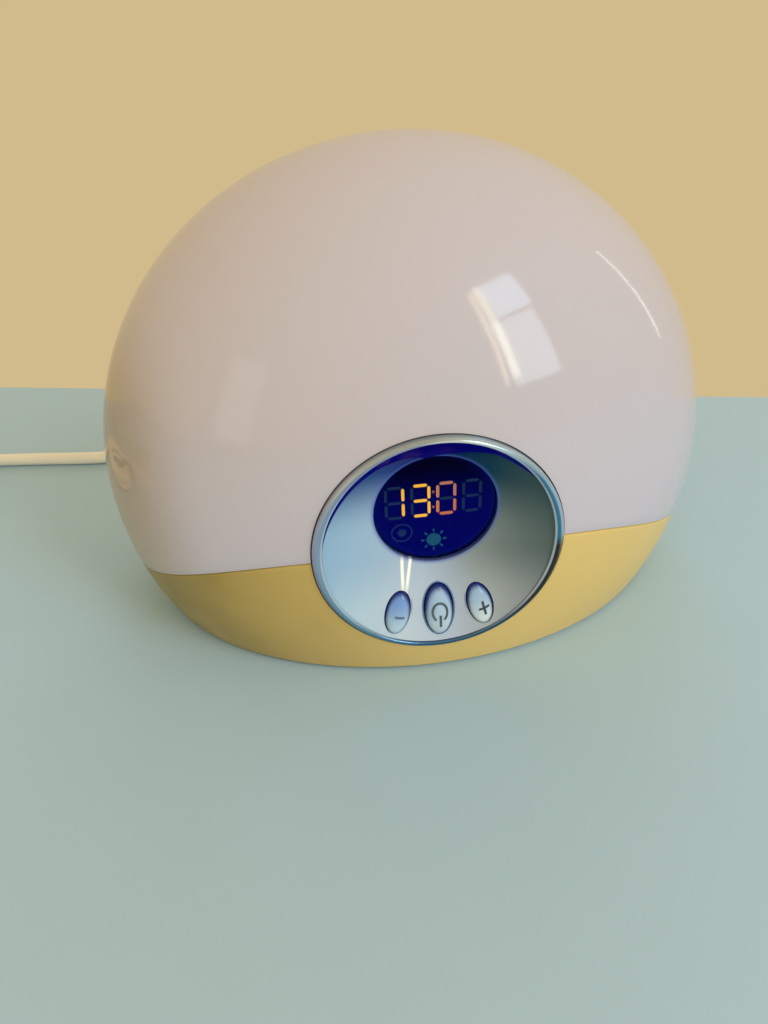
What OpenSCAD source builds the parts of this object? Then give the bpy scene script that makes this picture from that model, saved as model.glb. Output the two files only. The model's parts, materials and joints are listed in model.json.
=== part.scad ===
// Sunrise alarm clock: a milky dome over a cream base, with a round control dial.
// Millimetres. +Z is up, the front faces -Y, and the origin is on the table under the middle.

/* [Body] */
// Diameter of the round front outline
body_w = 200; // [190:1:215]
// Height of the widest point above the table
girdle_z = 45; // [42:0.5:48]
// Depth from the widest point to the front of the ellipsoid
front_depth = 72; // [70:0.5:76]
// Depth from the widest point to the back
rear_depth = 62; // [60:0.5:70]
// Wall of the cream base
base_wall = 2.6; // [2:0.1:3]
// Wall of the dome
dome_wall = 2.2; // [1.6:0.1:2.4]
// Height of the rubber feet under the base
foot_h = 1; // [0.6:0.1:1.4]

/* [Seam] */
// Height of the seam at the middle
seam_top = 50.6; // [49:0.2:53]
// Drop of the seam from the middle to the full width
seam_drop = 35.2; // [30:0.2:38]
// Power of the seam's arch
seam_power = 2.5; // [2.2:0.1:3]
// Gap between dome and base along the seam
seam_gap = 0.3; // [0.2:0.05:0.5]
// Height of the deck's rim inside the dome
rim_h = 3.5; // [2:0.5:5]
// Thickness of the deck's rim
rim_wall = 1.7; // [1.2:0.1:2.5]

/* [Dial] */
// Outer radius of the chrome ring
ring_r = 35.7; // [35:0.1:37]
// Height of the dial's centre
dial_z = 48.2; // [47.6:0.2:49]
// How far the ring's crest lies behind the front of the ellipsoid
ring_set = 3.2; // [2.8:0.1:3.6]
// Half width of the opening in the ring
ring_open_x = 32.9; // [32:0.1:33.2]
// Half height of the opening in the ring
ring_open_z = 34.3; // [33.8:0.1:34.4]
// Wall of the ring's sleeve
ring_wall = 1.5; // [1.2:0.1:1.6]
// How far the dish's outer edge lies behind the ring's crest
dish_set = 0.8; // [0.8:0.1:1.4]
// Depth of the dish from its outer edge to the window
dish_depth = 5.6; // [5:0.2:6.6]
// Thickness of the dish
dish_wall = 1.4; // [1:0.1:1.6]
// Curve of the dish, 1 for a straight cone
dish_curve = 1.25; // [1:0.05:1.5]
// Depth of the housing cup behind the ring's sleeve
cup_depth = 13.5; // [13:0.5:15]

/* [Display] */
// Radius of the window's lens
window_r = 17.4; // [16.5:0.1:17.6]
// Height of the window's centre
window_z = 57.8; // [57:0.2:58.4]
// Thickness of the lens
lens_t = 1.8; // [1.2:0.1:2]
// Thickness of the mask behind the lens
mask_t = 1; // [0.6:0.1:1.2]
// Height of the digits' centre line
digit_z = 60.2; // [59:0.1:61]
// Distance between digits
digit_pitch = 7.3; // [7:0.1:7.4]
// Distance between a digit's left and right segments
digit_w = 4.8; // [4.4:0.1:4.9]
// Distance between a digit's top and bottom segments
digit_h = 10; // [9:0.1:10.1]
// Width of one segment
segment_w = 0.8; // [0.7:0.05:1.1]
// Height of the segments above the mask
segment_t = 0.3; // [0.2:0.05:0.35]
// Height of the icons' centre line
icon_z = 46.4; // [46:0.1:47.4]

/* [Front buttons] */
// Width of the power button
power_w = 8.2; // [7.6:0.1:8.6]
// Height of the power button
power_h = 15.8; // [15:0.1:16.2]
// Width of the minus and plus buttons
side_w = 7.2; // [6.6:0.1:7.6]
// Height of the minus and plus buttons
side_h = 13.4; // [12.6:0.1:13.8]
// Distance of the minus and plus buttons from the middle
side_x = 12.4; // [12:0.1:13]
// Height of the power button's centre
power_z = 24.8; // [24.4:0.1:25.2]
// Height of the minus and plus buttons' centres
side_z = 25.3; // [25:0.1:25.8]
// Lean of the minus and plus buttons towards the middle, in degrees
side_lean = 13.5; // [10:0.5:16]
// Gap round a button in the dish
button_gap = 0.35; // [0.3:0.05:0.5]
// How far a button's dome stands out of the dish
button_rise = 2.9; // [2.4:0.1:3.2]
// Travel of every button
button_travel = 0.8; // [0.6:0.1:0.9]
// Overhang of a button's collar behind the panel
collar_w = 0.9; // [0.7:0.1:1.1]
// Thickness of a button's collar
collar_t = 1; // [0.8:0.1:1.2]

/* [Boards] */
// Thickness of the circuit boards
board_t = 1.6; // [1.2:0.1:1.8]
// Side of a push switch
switch_w = 6; // [5.6:0.1:6.2]
// Height of a push switch's body
switch_h = 3.5; // [3.2:0.1:3.8]
// Height of a push switch's plunger
plunger_h = 0.8; // [0.6:0.1:0.9]
// Width of the main board
main_w = 84; // [80:1:86]
// Length of the main board, front to back
main_l = 66; // [64:1:67]
// Height of the main board's underside
main_z = 9; // [8:0.5:10]
// Width of the rear board
rear_w = 60; // [56:1:62]
// Height of the rear board
rear_h = 24; // [22:0.5:25]

/* [Base] */
// Thickness of the bottom cover
cover_t = 2.5; // [2.3:0.1:3]
// Thickness of the base's inner ledge
ledge_t = 2; // [1.6:0.1:2.4]
// Width of the base's inner ledge
ledge_w = 9; // [7:0.5:9.5]
// Thickness of the deck
deck_t = 2; // [1.6:0.1:2.4]
// Depth of the deck's top below the seam
deck_drop = 2.5; // [2:0.1:3]
// Distance of the screw posts from the full width
post_inset = 37; // [35:0.5:40]
// Front screw posts
post_front = -22; // [-24:0.5:-20]
// Rear screw posts
post_rear = 32; // [30:0.5:33]
// Radius of a screw post
post_r = 4; // [3.6:0.1:4.4]
// Radius of a rubber foot
foot_r = 6.5; // [5.5:0.1:7]
// Radius of a screw's shank
screw_r = 1.5; // [1.2:0.1:1.6]
// Radius of a screw's head
head_r = 2.9; // [2.6:0.1:3.1]
// Height of a screw's head
head_h = 1.3; // [1:0.1:1.4]
// Length of the screws that hold the cover and the deck
long_screw = 12; // [10:0.5:12]
// Length of the screws that hold the main board and the shield
short_screw = 8.5; // [7:0.5:8.5]

/* [Lamp] */
// Distance of the lamp behind the origin
lamp_y = 8; // [6:0.5:10]
// Radius of the lamp's globe
globe_r = 22.5; // [20:0.5:24]
// Radius of the lamp's metal cap
cap_r = 6.9; // [6.8:0.05:7]
// Height of the globe's centre above the deck
globe_rise = 44; // [42:0.5:48]
// Radius of the lamp holder
holder_r = 13; // [12:0.5:14]
// Thickness of the globe's glass
glass_t = 0.8; // [0.6:0.1:1.2]

/* [Rear controls] */
// Height of the rear controls
rear_z = 24; // [23:0.5:25]
// Distance of the rear buttons from the middle
rear_x = 18; // [17:0.5:19]
// Radius of a rear button
rear_r = 4.5; // [4:0.1:4.7]
// Travel of the slide switch
slide_travel = 6; // [5:0.5:6]
// Width of the slide switch's knob
knob_w = 3.6; // [3:0.1:4]
// Height of the slide switch's knob
knob_h = 4.6; // [4:0.1:5]

/* [Cord] */
// Diameter of the cord
cord_d = 5.4; // [5:0.1:5.4]
// Sideways place of the cord gland
gland_x = -40; // [-42:0.5:-38]
// Height of the cord gland
gland_z = 16; // [15:0.5:17]
// Turns of the coil's lower layer, from outside to inside
turns_in = 3; // [2:1:3]
// Distance between neighbouring turns
coil_pitch = 5.9; // [5.8:0.05:6]
// Thickness of the tie round the coil
tie_t = 0.5; // [0.4:0.1:0.8]
// Width of the tie
tie_w = 9; // [7:0.5:12]

/* [Plug] */
// Width of the plug
plug_w = 50; // [48:0.5:52]
// Length of the plug's body
plug_l = 48; // [46:0.5:50]
// Thickness of the plug's body
plug_t = 19; // [18.4:0.2:22]
// Distance between the plug's live and neutral pins, and from them to the earth pin
pin_pitch = 22.2; // [22:0.1:22.4]

/* [Hidden] */

// Colours, as the photograph shows them
milky = [0.85, 0.81, 0.80];
cream = [0.85, 0.74, 0.46];
chrome = [0.72, 0.78, 0.82];
silver = [0.66, 0.74, 0.78];
navy = [0.02, 0.03, 0.20];
amber = [1.0, 0.70, 0.15];
ghost = [0.10, 0.20, 0.32];
ice_blue = [0.62, 0.76, 0.85];
board_green = [0.10, 0.35, 0.20];
cord_cream = [0.90, 0.88, 0.80];

// Small shared clearances and finishes
fit = 0.2;            // between fixed pieces that fit in each other
running = 0.3;        // between moving pieces
screw_fit = 0.05;     // round a screw's shank
far = 400;            // longer than the object, for cuts that go right through
sharp = 28;           // profile points per quarter of the ellipsoid
$fn = 72;

// The body's ellipsoid: round seen from the front, elliptical seen from the side
outline_r = body_w / 2;
girdle_y = (front_depth - ring_set - rear_depth) / 2;
crest_y = girdle_y - front_depth + ring_set;
back_y = girdle_y + rear_depth;

// One quarter of the profile runs from the girdle to the pole
function egg_profile(inset) = let (r = outline_r - inset, f = front_depth - inset, b = rear_depth - inset)
    concat([for (i = [0:sharp]) let (t = 90 * i / sharp) [r * sin(t), -b * cos(t)]],
        [for (i = [1:sharp]) let (t = 90 * i / sharp) [r * cos(t), f * sin(t)]]);

// Depth of the egg's rear skin at one place of the front view
function bulge(x, z, inset) = sqrt(max(0, 1 - (x * x + (z - girdle_z) * (z - girdle_z))
    / ((outline_r - inset) * (outline_r - inset))));
function rear_y(x, z, inset = 0) = girdle_y + (rear_depth - inset) * bulge(x, z, inset);

module egg(inset = 0)
    translate([0, girdle_y, girdle_z])
        rotate([90, 0, 0])
            rotate_extrude($fn = 96)
                polygon(egg_profile(inset));

// The seam is an arch seen from the front, run straight from front to back
seam_steps = 32;
function seam_z(x) = seam_top - seam_drop * pow(abs(x) / outline_r, seam_power);
seam_x = [for (i = [0:seam_steps]) (outline_r + 2) * (2 * i / seam_steps - 1)];

// A band that follows the seam's arch, between two heights above the seam
module arch_band(low, high)
    rotate([90, 0, 0])
        linear_extrude(far, center = true)
            polygon(concat([for (x = seam_x) [x, seam_z(x) + low]],
                [for (i = [seam_steps:-1:0]) [seam_x[i], seam_z(seam_x[i]) + high]]));

module under_arch(high)
    rotate([90, 0, 0])
        linear_extrude(far, center = true)
            polygon(concat([[seam_x[0], -1], [seam_x[seam_steps], -1]],
                [for (i = [seam_steps:-1:0]) [seam_x[i], seam_z(seam_x[i]) + high]]));

// A cylinder along Y from y0 to y1
module rod_y(r, y0, y1, x = 0, z = 0)
    translate([x, y0, z])
        rotate([-90, 0, 0])
            cylinder(h = y1 - y0, r = r);

// A screw along Z or Y: shank, and a head on its far side
module screw_z(x, y, z_head, length, up = 1)
    translate([x, y, z_head])
        scale([1, 1, up])
            union() {
                cylinder(h = length, r = screw_r);
                cylinder(h = head_h, r = head_r);
            }

// Horizontal section of the egg, as a polygon
function section(z, inset) = let (s = sqrt(1 - pow((z - girdle_z) / (outline_r - inset), 2)),
        a = (outline_r - inset) * s, f = (front_depth - inset) * s, b = (rear_depth - inset) * s)
    [for (i = [0:71]) let (t = 5 * i) [a * cos(t), girdle_y + (sin(t) < 0 ? f : b) * sin(t)]];

// Skin over a list of rings that all have as many points; closed at its ends, or looped.
// Seen from outside, with the rings going away, each ring runs anticlockwise round the path.
module ring_skin(rings, loop = false) {
    n = len(rings[0]);
    m = len(rings);
    sides = [for (i = [0:m - (loop ? 1 : 2)]) for (j = [0:n - 1])
        let (a = i * n + j, b = i * n + (j + 1) % n, c = ((i + 1) % m) * n + (j + 1) % n,
            d = ((i + 1) % m) * n + j)
        each [[a, b, d], [b, c, d]]];
    ends = loop ? [] : [[for (j = [n - 1:-1:0]) j], [for (j = [0:n - 1]) (m - 1) * n + j]];
    polyhedron([for (r = rings) each r], concat(sides, ends));
}

// A round tube swept along a path that is never vertical
function unit(v) = v / norm(v);
function heading(p, i) = unit(p[min(i + 1, len(p) - 1)] - p[max(i - 1, 0)]);
function tube_rings(p, r, sides, first = undef, last = undef) =
    [for (i = [0:len(p) - 1])
        let (t = i == 0 && !is_undef(first) ? first : i == len(p) - 1 && !is_undef(last) ? last
                : heading(p, i),
            s = unit(cross(t, [0, 0, 1])), u = cross(s, t))
        [for (j = [0:sides - 1]) let (a = -90 + 360 * j / sides) p[i] + r * (cos(a) * s + sin(a) * u)]];

module tube(p, r, sides, first = undef, last = undef)
    ring_skin(tube_rings(p, r, sides, first, last));

// ---------------------------------------------------------------- dome and base

cut_r = ring_r + running;      // opening for the dial in dome, base and deck
sleeve_back = crest_y + 6.5;   // back of the ring's sleeve, where the housing cup starts
cup_back = sleeve_back + cup_depth;

module dial_cut(back)
    rod_y(cut_r, -far, back, 0, dial_z);

module diffuser()
    color(milky)
        difference() {
            egg();
            egg(dome_wall);
            under_arch(seam_gap / 2);
            dial_cut(cup_back + 2);
            translate([-far / 2, -far / 2, -far])
                cube([far, far, far]);
        }

cover_top = foot_h + cover_t;
post_x = outline_r - post_inset;
posts = [for (sx = [-1, 1]) for (y = [post_front, post_rear]) [sx * post_x, y]];
post_top = seam_z(post_x + post_r) - deck_drop - deck_t - fit;
dial_boss_x = 42;
dial_boss_z = 28;
dial_boss_r = 3.6;
ear_front = cup_back - 3;
slot_w = knob_w + slide_travel + 2 * running;
slot_h = knob_h + 2 * running;
gland_hole_r = 4.6;
gland_r = 6.6;                      // outer collar
gland_inner_r = 6;                  // inner collar

module base_shell()
    color(cream)
        difference() {
            union() {
                intersection() {
                    difference() {
                        egg();
                        egg(base_wall);
                    }
                    under_arch(-seam_gap / 2);
                    translate([-far / 2, -far / 2, foot_h])
                        cube([far, far, far]);
                }
                // Ledge inside the lower edge, with a rib out to each screw post
                intersection() {
                    egg(base_wall / 2);
                    translate([0, 0, cover_top])
                        linear_extrude(ledge_t)
                            union() {
                                difference() {
                                    square([2 * far, 2 * far], center = true);
                                    polygon(section(cover_top, base_wall + ledge_w));
                                }
                                for (p = posts)
                                    translate([p[0], p[1] + sign(p[1]) * far / 2])
                                        square([2 * post_r, far], center = true);
                            }
                }
                for (p = posts)
                    translate([p[0], p[1], cover_top])
                        cylinder(h = post_top - cover_top, r = post_r);
                // Bosses that the dial's housing is screwed to
                intersection() {
                    egg(base_wall / 2);
                    for (sx = [-1, 1])
                        rod_y(dial_boss_r, crest_y, ear_front, sx * dial_boss_x, dial_boss_z);
                }
            }
            dial_cut(cup_back);
            for (p = posts)
                translate([p[0], p[1], cover_top - 1])
                    cylinder(h = post_top - cover_top + 2, r = screw_r + screw_fit);
            for (sx = [-1, 1])
                rod_y(screw_r + screw_fit, ear_front - 7, ear_front + 1, sx * dial_boss_x, dial_boss_z);
            for (sx = [-1, 1])
                rod_y(rear_r + running, back_y / 2, far, sx * rear_x, rear_z);
            translate([-slot_w / 2, back_y / 2, rear_z - slot_h / 2])
                cube([slot_w, far, slot_h]);
            rod_y(gland_hole_r, back_y / 2, far, gland_x, gland_z);
        }

foot_x = post_x - 11;
feet = [for (sx = [-1, 1]) for (y = [post_front - 12, post_rear + 4]) [sx * foot_x, y]];
foot_stub_r = 2.5;

// The rear board stands behind the rear wall, on the main board's back edge
rear_collar_back = rear_y(rear_x + rear_r + collar_w, rear_z, base_wall) - 0.6;
rear_stem_l = 7.3;
rear_stem_end = rear_collar_back - rear_stem_l;
rear_board_back = rear_stem_end - switch_h - plunger_h - button_travel - fit;
rear_board_y = rear_board_back - board_t;
main_front = rear_board_back + 1 - main_l;
board_posts = [for (sx = [-1, 1]) for (y = [main_front + 4, main_front + main_l - 10])
    [sx * (main_w / 2 - 6), y]];
board_post_r = 3;
vent_w = 3;
vent_l = 20;
vent_pitch = 7;
vent_count = 7;

module bottom_cover()
    color(cream)
        difference() {
            union() {
                translate([0, 0, foot_h])
                    linear_extrude(cover_t)
                        polygon(section(foot_h, base_wall + fit));
                for (p = board_posts)
                    translate([p[0], p[1], cover_top - 1])
                        cylinder(h = main_z - cover_top + 1, r = board_post_r);
            }
            for (p = feet)
                translate([p[0], p[1], 0])
                    cylinder(h = 10, r = foot_stub_r + screw_fit);
            for (p = posts) {
                translate([p[0], p[1], 0])
                    cylinder(h = 10, r = screw_r + screw_fit);
                translate([p[0], p[1], 0])
                    cylinder(h = foot_h + head_h + 0.2, r = head_r + fit);
            }
            for (p = board_posts)
                translate([p[0], p[1], foot_h + 1])
                    cylinder(h = main_z, r = screw_r + screw_fit);
            for (i = [0:vent_count - 1])
                translate([(i - (vent_count - 1) / 2) * vent_pitch - vent_w / 2, 8 - vent_l / 2, 0])
                    cube([vent_w, vent_l, 10]);
        }

module rubber_feet()
    color("dimgray")
        for (p = feet)
            translate([p[0], p[1], 0])
                union() {
                    cylinder(h = foot_h, r = foot_r);
                    cylinder(h = cover_top, r = foot_stub_r);
                }

module bottom_screws()
    color("silver")
        for (p = posts)
            screw_z(p[0], p[1], foot_h + fit, long_screw);

// The deck follows the seam's arch, and its rim locates the dome
deck_top = seam_top - deck_drop;
holder_hole_r = holder_r + fit;

module reflector_deck()
    color("white")
        difference() {
            // The raised egg keeps the rim clear of the dome's edge as the dome lifts off
            intersection() {
                egg(base_wall + fit);
                translate([0, 0, rim_h + seam_gap])
                    egg(base_wall + fit);
                arch_band(-deck_drop - deck_t, rim_h);
            }
            intersection() {
                egg(base_wall + fit + rim_wall);
                arch_band(-deck_drop, rim_h + 5);
            }
            dial_cut(cup_back + 2);
            for (p = posts)
                translate([p[0], p[1], post_top - 1])
                    cylinder(h = 30, r = screw_r + screw_fit);
            translate([0, lamp_y, 0])
                cylinder(h = 80, r = holder_hole_r);
            for (sx = [-1, 1])
                translate([sx * shield_foot_x, shield_y + shield_foot_l / 2, deck_top - deck_t - 1])
                    cylinder(h = 10, r = screw_r + screw_fit);
        }

module deck_screws()
    color("silver")
        for (p = posts)
            screw_z(p[0], p[1], seam_z(post_x - head_r) - deck_drop + head_h + 0.1, long_screw, -1);

// ---------------------------------------------------------------- dial

ring_round = 3;                 // width of the ring's rounded crest, seen in section
ring_lip = dish_set - 0.1;      // depth of the inner lip's back, just in front of the dish
ring_steps = 8;
dish_r = ring_r - ring_wall - fit;
dish_front = crest_y + dish_set;
window_front = dish_front + dish_depth;
window_hole_r = window_r + fit;
cup_r = ring_r - fit;
cup_wall = 1.2;
mask_front = window_front + fit + lens_t + segment_t + 0.1;
mask_back = mask_front + mask_t;
board_front = cup_back - 4;     // front face of the front board
board_back = board_front + board_t;

// Section of the ring: sleeve, rounded crest and a thin inner lip
function ring_section() = concat(
    [[ring_r - ring_wall, sleeve_back], [ring_r - ring_wall, crest_y + ring_lip],
        [ring_open_x - 1, crest_y + ring_lip], [ring_open_x - 1, crest_y + ring_lip - 0.3]],
    [for (i = [0:ring_steps]) let (t = 125 - 125 * i / ring_steps)
        [ring_r - ring_round / 2 + ring_round / 2 * cos(t), crest_y + ring_round / 2 * (1 - sin(t))]],
    [[ring_r, sleeve_back]]);

module oval(rx, rz, steps = 96)
    polygon([for (i = [0:steps - 1]) [rx * cos(360 * i / steps), rz * sin(360 * i / steps)]]);

module bezel_ring()
    color(chrome)
        difference() {
            translate([0, 0, dial_z])
                rotate([-90, 0, 0])
                    rotate_extrude($fn = 96)
                        polygon(ring_section());
            translate([0, 0, dial_z])
                rotate([90, 0, 0])
                    linear_extrude(far, center = true)
                        oval(ring_open_x, ring_open_z);
        }

// The dish narrows from the ring's circle to the window's, whose centre is higher.
// t runs from 0 at the outer edge to 1 at the window.
dish_sides = 72;
dish_steps = 5;
function mix(a, b, t) = a + (b - a) * t;
function dish_y(t) = dish_front + dish_depth * (1 - pow(1 - t, dish_curve));
function circle_ring(r, y, z) = [for (j = [0:dish_sides - 1])
    let (a = 360 * j / dish_sides) [r * cos(a), y, z + r * sin(a)]];
function dish_ring(t, back) = circle_ring(
    mix(dish_r - (back ? dish_wall : 0), window_hole_r, t), dish_y(t) + (back ? dish_wall : 0),
    mix(dial_z, window_z, t));

// Height of the dish's front face below the window, on the middle line
function dish_t(z) = (z - (dial_z - dish_r)) / ((window_z - window_hole_r) - (dial_z - dish_r));
function dish_face(z) = dish_y(max(0, min(1, dish_t(z))));

// Centre, half width, half height and lean of each front button
power_place = [0, power_z, power_w / 2, power_h / 2, 0];
minus_place = [-side_x, side_z, side_w / 2, side_h / 2, -side_lean];
plus_place = [side_x, side_z, side_w / 2, side_h / 2, side_lean];
front_places = [minus_place, power_place, plus_place];
button_sides = 32;

// An oval at one depth, grown by grow; its depth can follow the dish's slope
function button_slope(p) = (dish_face(p[1] + p[3]) - dish_face(p[1] - p[3])) / (2 * p[3]);
function button_ring(p, grow, y, slope = 0) = [for (j = [0:button_sides - 1])
    let (a = 360 * j / button_sides, u = (p[2] + grow) * cos(a), v = (p[3] + grow) * sin(a),
        dx = u * cos(p[4]) - v * sin(p[4]), dz = u * sin(p[4]) + v * cos(p[4]))
    [p[0] + dx, y + slope * dz, p[1] + dz]];

module button_hole(p)
    ring_skin([button_ring(p, button_gap, crest_y - 5), button_ring(p, button_gap, cup_back)]);

module dial_dish()
    color(silver)
        difference() {
            ring_skin(concat(
                [for (i = [0:dish_steps]) dish_ring(i / dish_steps, false)],
                [for (i = [dish_steps:-1:0]) dish_ring(i / dish_steps, true)],
                [circle_ring(dish_r - dish_wall, sleeve_back, dial_z),
                    circle_ring(dish_r, sleeve_back, dial_z)]), loop = true);
            for (p = front_places)
                button_hole(p);
        }

// Front button: dome over an oval body, a collar behind the dish, and a stem to its switch
collar_front = dish_face(power_z + power_h / 2 + button_gap) + dish_wall + 0.4;
front_stem_r = 2;
stem_end = board_front - switch_h - plunger_h - button_travel - fit;
dome_steps = 5;

module front_button(p)
    color(ice_blue)
        union() {
            let (face = dish_face(p[1]), slope = button_slope(p))
                ring_skin(concat(
                    [for (i = [dome_steps:-1:0]) let (t = 85 * i / dome_steps)
                        button_ring([p[0], p[1], p[2] * cos(t), p[3] * cos(t), p[4]], 0,
                            face - 0.3 - (button_rise - 0.3) * sin(t), slope)],
                    [button_ring(p, 0, collar_front + collar_t / 2)]));
            ring_skin([for (y = [collar_front, collar_front + collar_t]) button_ring(p, collar_w, y)]);
            rod_y(front_stem_r, collar_front + collar_t / 2, stem_end, p[0], p[1]);
        }

module minus_button() front_button(minus_place);
module power_button() front_button(power_place);
module plus_button() front_button(plus_place);

// Housing: a cup behind the ring, with a ledge for the board and two screwed ears
ledge_r = 28.5;
ear_t = 3;
ear_r = 5;

module dial_housing()
    color("whitesmoke")
        difference() {
            union() {
                rod_y(cup_r, sleeve_back, cup_back, 0, dial_z);
                for (sx = [-1, 1])
                    rod_y(ear_r, ear_front, ear_front + ear_t, sx * dial_boss_x, dial_boss_z);
                for (sx = [-1, 1])
                    translate([sx * (dial_boss_x - 8) - 8, ear_front, dial_boss_z - ear_r])
                        cube([16, ear_t, 2 * ear_r]);
            }
            rod_y(cup_r - cup_wall, sleeve_back - 1, board_back, 0, dial_z);
            rod_y(ledge_r, sleeve_back - 1, cup_back + 1, 0, dial_z);
            for (sx = [-1, 1])
                rod_y(screw_r + screw_fit, ear_front - 1, cup_back + 1, sx * dial_boss_x, dial_boss_z);
            for (a = board_screw_angles)
                rod_y(screw_r + screw_fit, board_back - 1, cup_back + 1,
                    board_screw_r * cos(a), dial_z + board_screw_r * sin(a));
        }

module dial_screws()
    color("silver")
        for (sx = [-1, 1])
            union() {
                rod_y(screw_r, ear_front - 5, cup_back + head_h, sx * dial_boss_x, dial_boss_z);
                rod_y(head_r, cup_back, cup_back + head_h, sx * dial_boss_x, dial_boss_z);
            }

// ---------------------------------------------------------------- display

module display_window()
    color(navy)
        rod_y(window_r, window_front + fit, window_front + fit + lens_t, 0, window_z);

module display_mask()
    color("black")
        rod_y(window_r, mask_front, mask_back, 0, window_z);

// Segments a to g of one digit, as [x, z, upright]
segment_places = [[0, 1, 0], [1, 0.5, 1], [1, -0.5, 1], [0, -1, 0], [-1, -0.5, 1], [-1, 0.5, 1], [0, 0, 0]];
// Which segments each digit lights: 1, 3, 0 and a dark digit
lit = [[1, 2], [0, 1, 2, 3, 6], [0, 1, 2, 3, 4, 5], []];
digits_x = -0.3;
function digit_x(d) = (d - 1.5) * digit_pitch + digits_x;
function is_lit(d, s) = len([for (k = lit[d]) if (k == s) k]) > 0;
segment_gap = 0.45;

// One segment: a bar with pointed ends, standing on the mask
module segment(x, z, upright, length)
    translate([x, mask_front, z])
        rotate([90, upright ? 90 : 0, 0])
            linear_extrude(segment_t)
                let (h = length / 2 - segment_gap, w = segment_w / 2)
                    polygon([[-h, 0], [w - h, w], [h - w, w], [h, 0], [h - w, -w], [w - h, -w]]);

module segments(want_lit)
    for (d = [0:3])
        for (s = [0:6])
            if (is_lit(d, s) == want_lit)
                let (p = segment_places[s])
                    segment(digit_x(d) + p[0] * digit_w / 2, digit_z + p[1] * digit_h / 2, p[2] == 1,
                        p[2] == 1 ? digit_h / 2 : digit_w);

// Two dots between the second and third digits
colon_w = 0.6;

module lit_segments()
    color(amber)
        union() {
            segments(true);
            for (s = [-1, 1])
                translate([digits_x - colon_w / 2, mask_front - segment_t,
                        digit_z + s * digit_h / 4 - colon_w / 2])
                    cube([colon_w, segment_t, colon_w]);
        }

module unlit_segments()
    color(ghost)
        segments(false);

sun_r = 2.1;
ray_in = 2.7;
ray_out = 3.7;
ray_w = 0.4;
alarm_x = -9.5;
alarm_z = 49.9;
alarm_r = 3.1;
icon_line = 0.35;

module display_icons()
    color(ghost)
        union() {
            rod_y(sun_r, mask_front - segment_t, mask_front, digits_x, icon_z);
            for (a = [0:45:315])
                translate([digits_x, mask_front - segment_t, icon_z])
                    rotate([0, a, 0])
                        translate([ray_in, 0, -ray_w / 2])
                            cube([ray_out - ray_in, segment_t, ray_w]);
            difference() {
                rod_y(alarm_r, mask_front - segment_t, mask_front, alarm_x, alarm_z);
                rod_y(alarm_r - icon_line, mask_front - 2 * segment_t, mask_front + 1, alarm_x, alarm_z);
            }
            rod_y(1.2, mask_front - segment_t, mask_front, alarm_x, alarm_z);
        }

module display_block()
    color("white")
        rod_y(window_r - 2, mask_back, board_front, 0, window_z);

board_screw_angles = [20, 160, 270];
board_screw_r = 30.8;

module front_board()
    color(board_green)
        difference() {
            rod_y(cup_r - cup_wall - fit, board_front, board_back, 0, dial_z);
            for (a = board_screw_angles)
                rod_y(screw_r + screw_fit, board_front - 1, board_back + 1,
                    board_screw_r * cos(a), dial_z + board_screw_r * sin(a));
        }

board_head_r = 2.2;

module front_board_screws()
    color("silver")
        for (a = board_screw_angles)
            let (x = board_screw_r * cos(a), z = dial_z + board_screw_r * sin(a))
                union() {
                    rod_y(screw_r, board_front - head_h, cup_back - 0.5, x, z);
                    intersection() {
                        rod_y(board_head_r, board_front - head_h, board_front, x, z);
                        rod_y(cup_r - cup_wall - fit, board_front - head_h, board_front, 0, dial_z);
                    }
                }

module push_switch(x, y, z, side)
    translate([x, y, z])
        scale([1, side, 1])
            union() {
                translate([-switch_w / 2, 0, -switch_w / 2])
                    cube([switch_w, switch_h, switch_w]);
                rod_y(1.7, 0, switch_h + plunger_h);
            }

module front_switches()
    color("dimgray")
        for (p = front_places)
            push_switch(p[0], board_front, p[1], -1);

// ---------------------------------------------------------------- lamp under the dome

shield_y = -38;
shield_t = 0.8;
shield_w = 58;
shield_top = 84;
shield_foot_x = 14;
shield_foot_l = 12;
shield_seat = seam_z(0) - deck_drop + 0.05;

module heat_shield()
    color("gainsboro")
        difference() {
            union() {
                translate([-shield_w / 2, shield_y, shield_seat + 2])
                    cube([shield_w, shield_t, shield_top - shield_seat - 2]);
                translate([-shield_foot_x - 5, shield_y, shield_seat])
                    cube([2 * shield_foot_x + 10, shield_t, 4]);
                translate([-shield_foot_x - 5, shield_y, shield_seat])
                    cube([2 * shield_foot_x + 10, shield_foot_l, shield_t]);
            }
            for (sx = [-1, 1])
                translate([sx * shield_foot_x, shield_y + shield_foot_l / 2, shield_seat - 1])
                    cylinder(h = 4, r = screw_r + screw_fit);
        }

module heat_shield_screws()
    color("silver")
        for (sx = [-1, 1])
            screw_z(sx * shield_foot_x, shield_y + shield_foot_l / 2, shield_seat + shield_t + head_h,
                short_screw - 1.5, -1);

holder_low = 38;
holder_top = deck_top + 12;
cap_low = deck_top - 5;
globe_z = deck_top + globe_rise;
neck_r = cap_r + 0.9;

module lamp_holder()
    color("whitesmoke")
        translate([0, lamp_y, 0])
            difference() {
                union() {
                    translate([0, 0, holder_low])
                        cylinder(h = holder_top - holder_low, r = holder_r);
                    translate([0, 0, deck_top + 0.05])
                        cylinder(h = 2, r = holder_r + 4);
                }
                translate([0, 0, cap_low - 1])
                    cylinder(h = 60, r = cap_r + 0.08);
            }

module bulb_cap()
    color("silver")
        translate([0, lamp_y, cap_low])
            union() {
                cylinder(h = holder_top - cap_low + 4, r = cap_r);
                translate([0, 0, -1])
                    cylinder(h = 2, r = 2.5);
            }

// Globe lamp: a neck that opens into a ball
neck_low = holder_top + 4;
function globe_section(r, neck) = let (a = acos(neck / r))
    concat([[neck, neck_low]], [for (i = [0:16]) let (t = -a + (90 + a) * i / 16)
        [max(0, r * cos(t)), globe_z + r * sin(t)]]);

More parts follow.
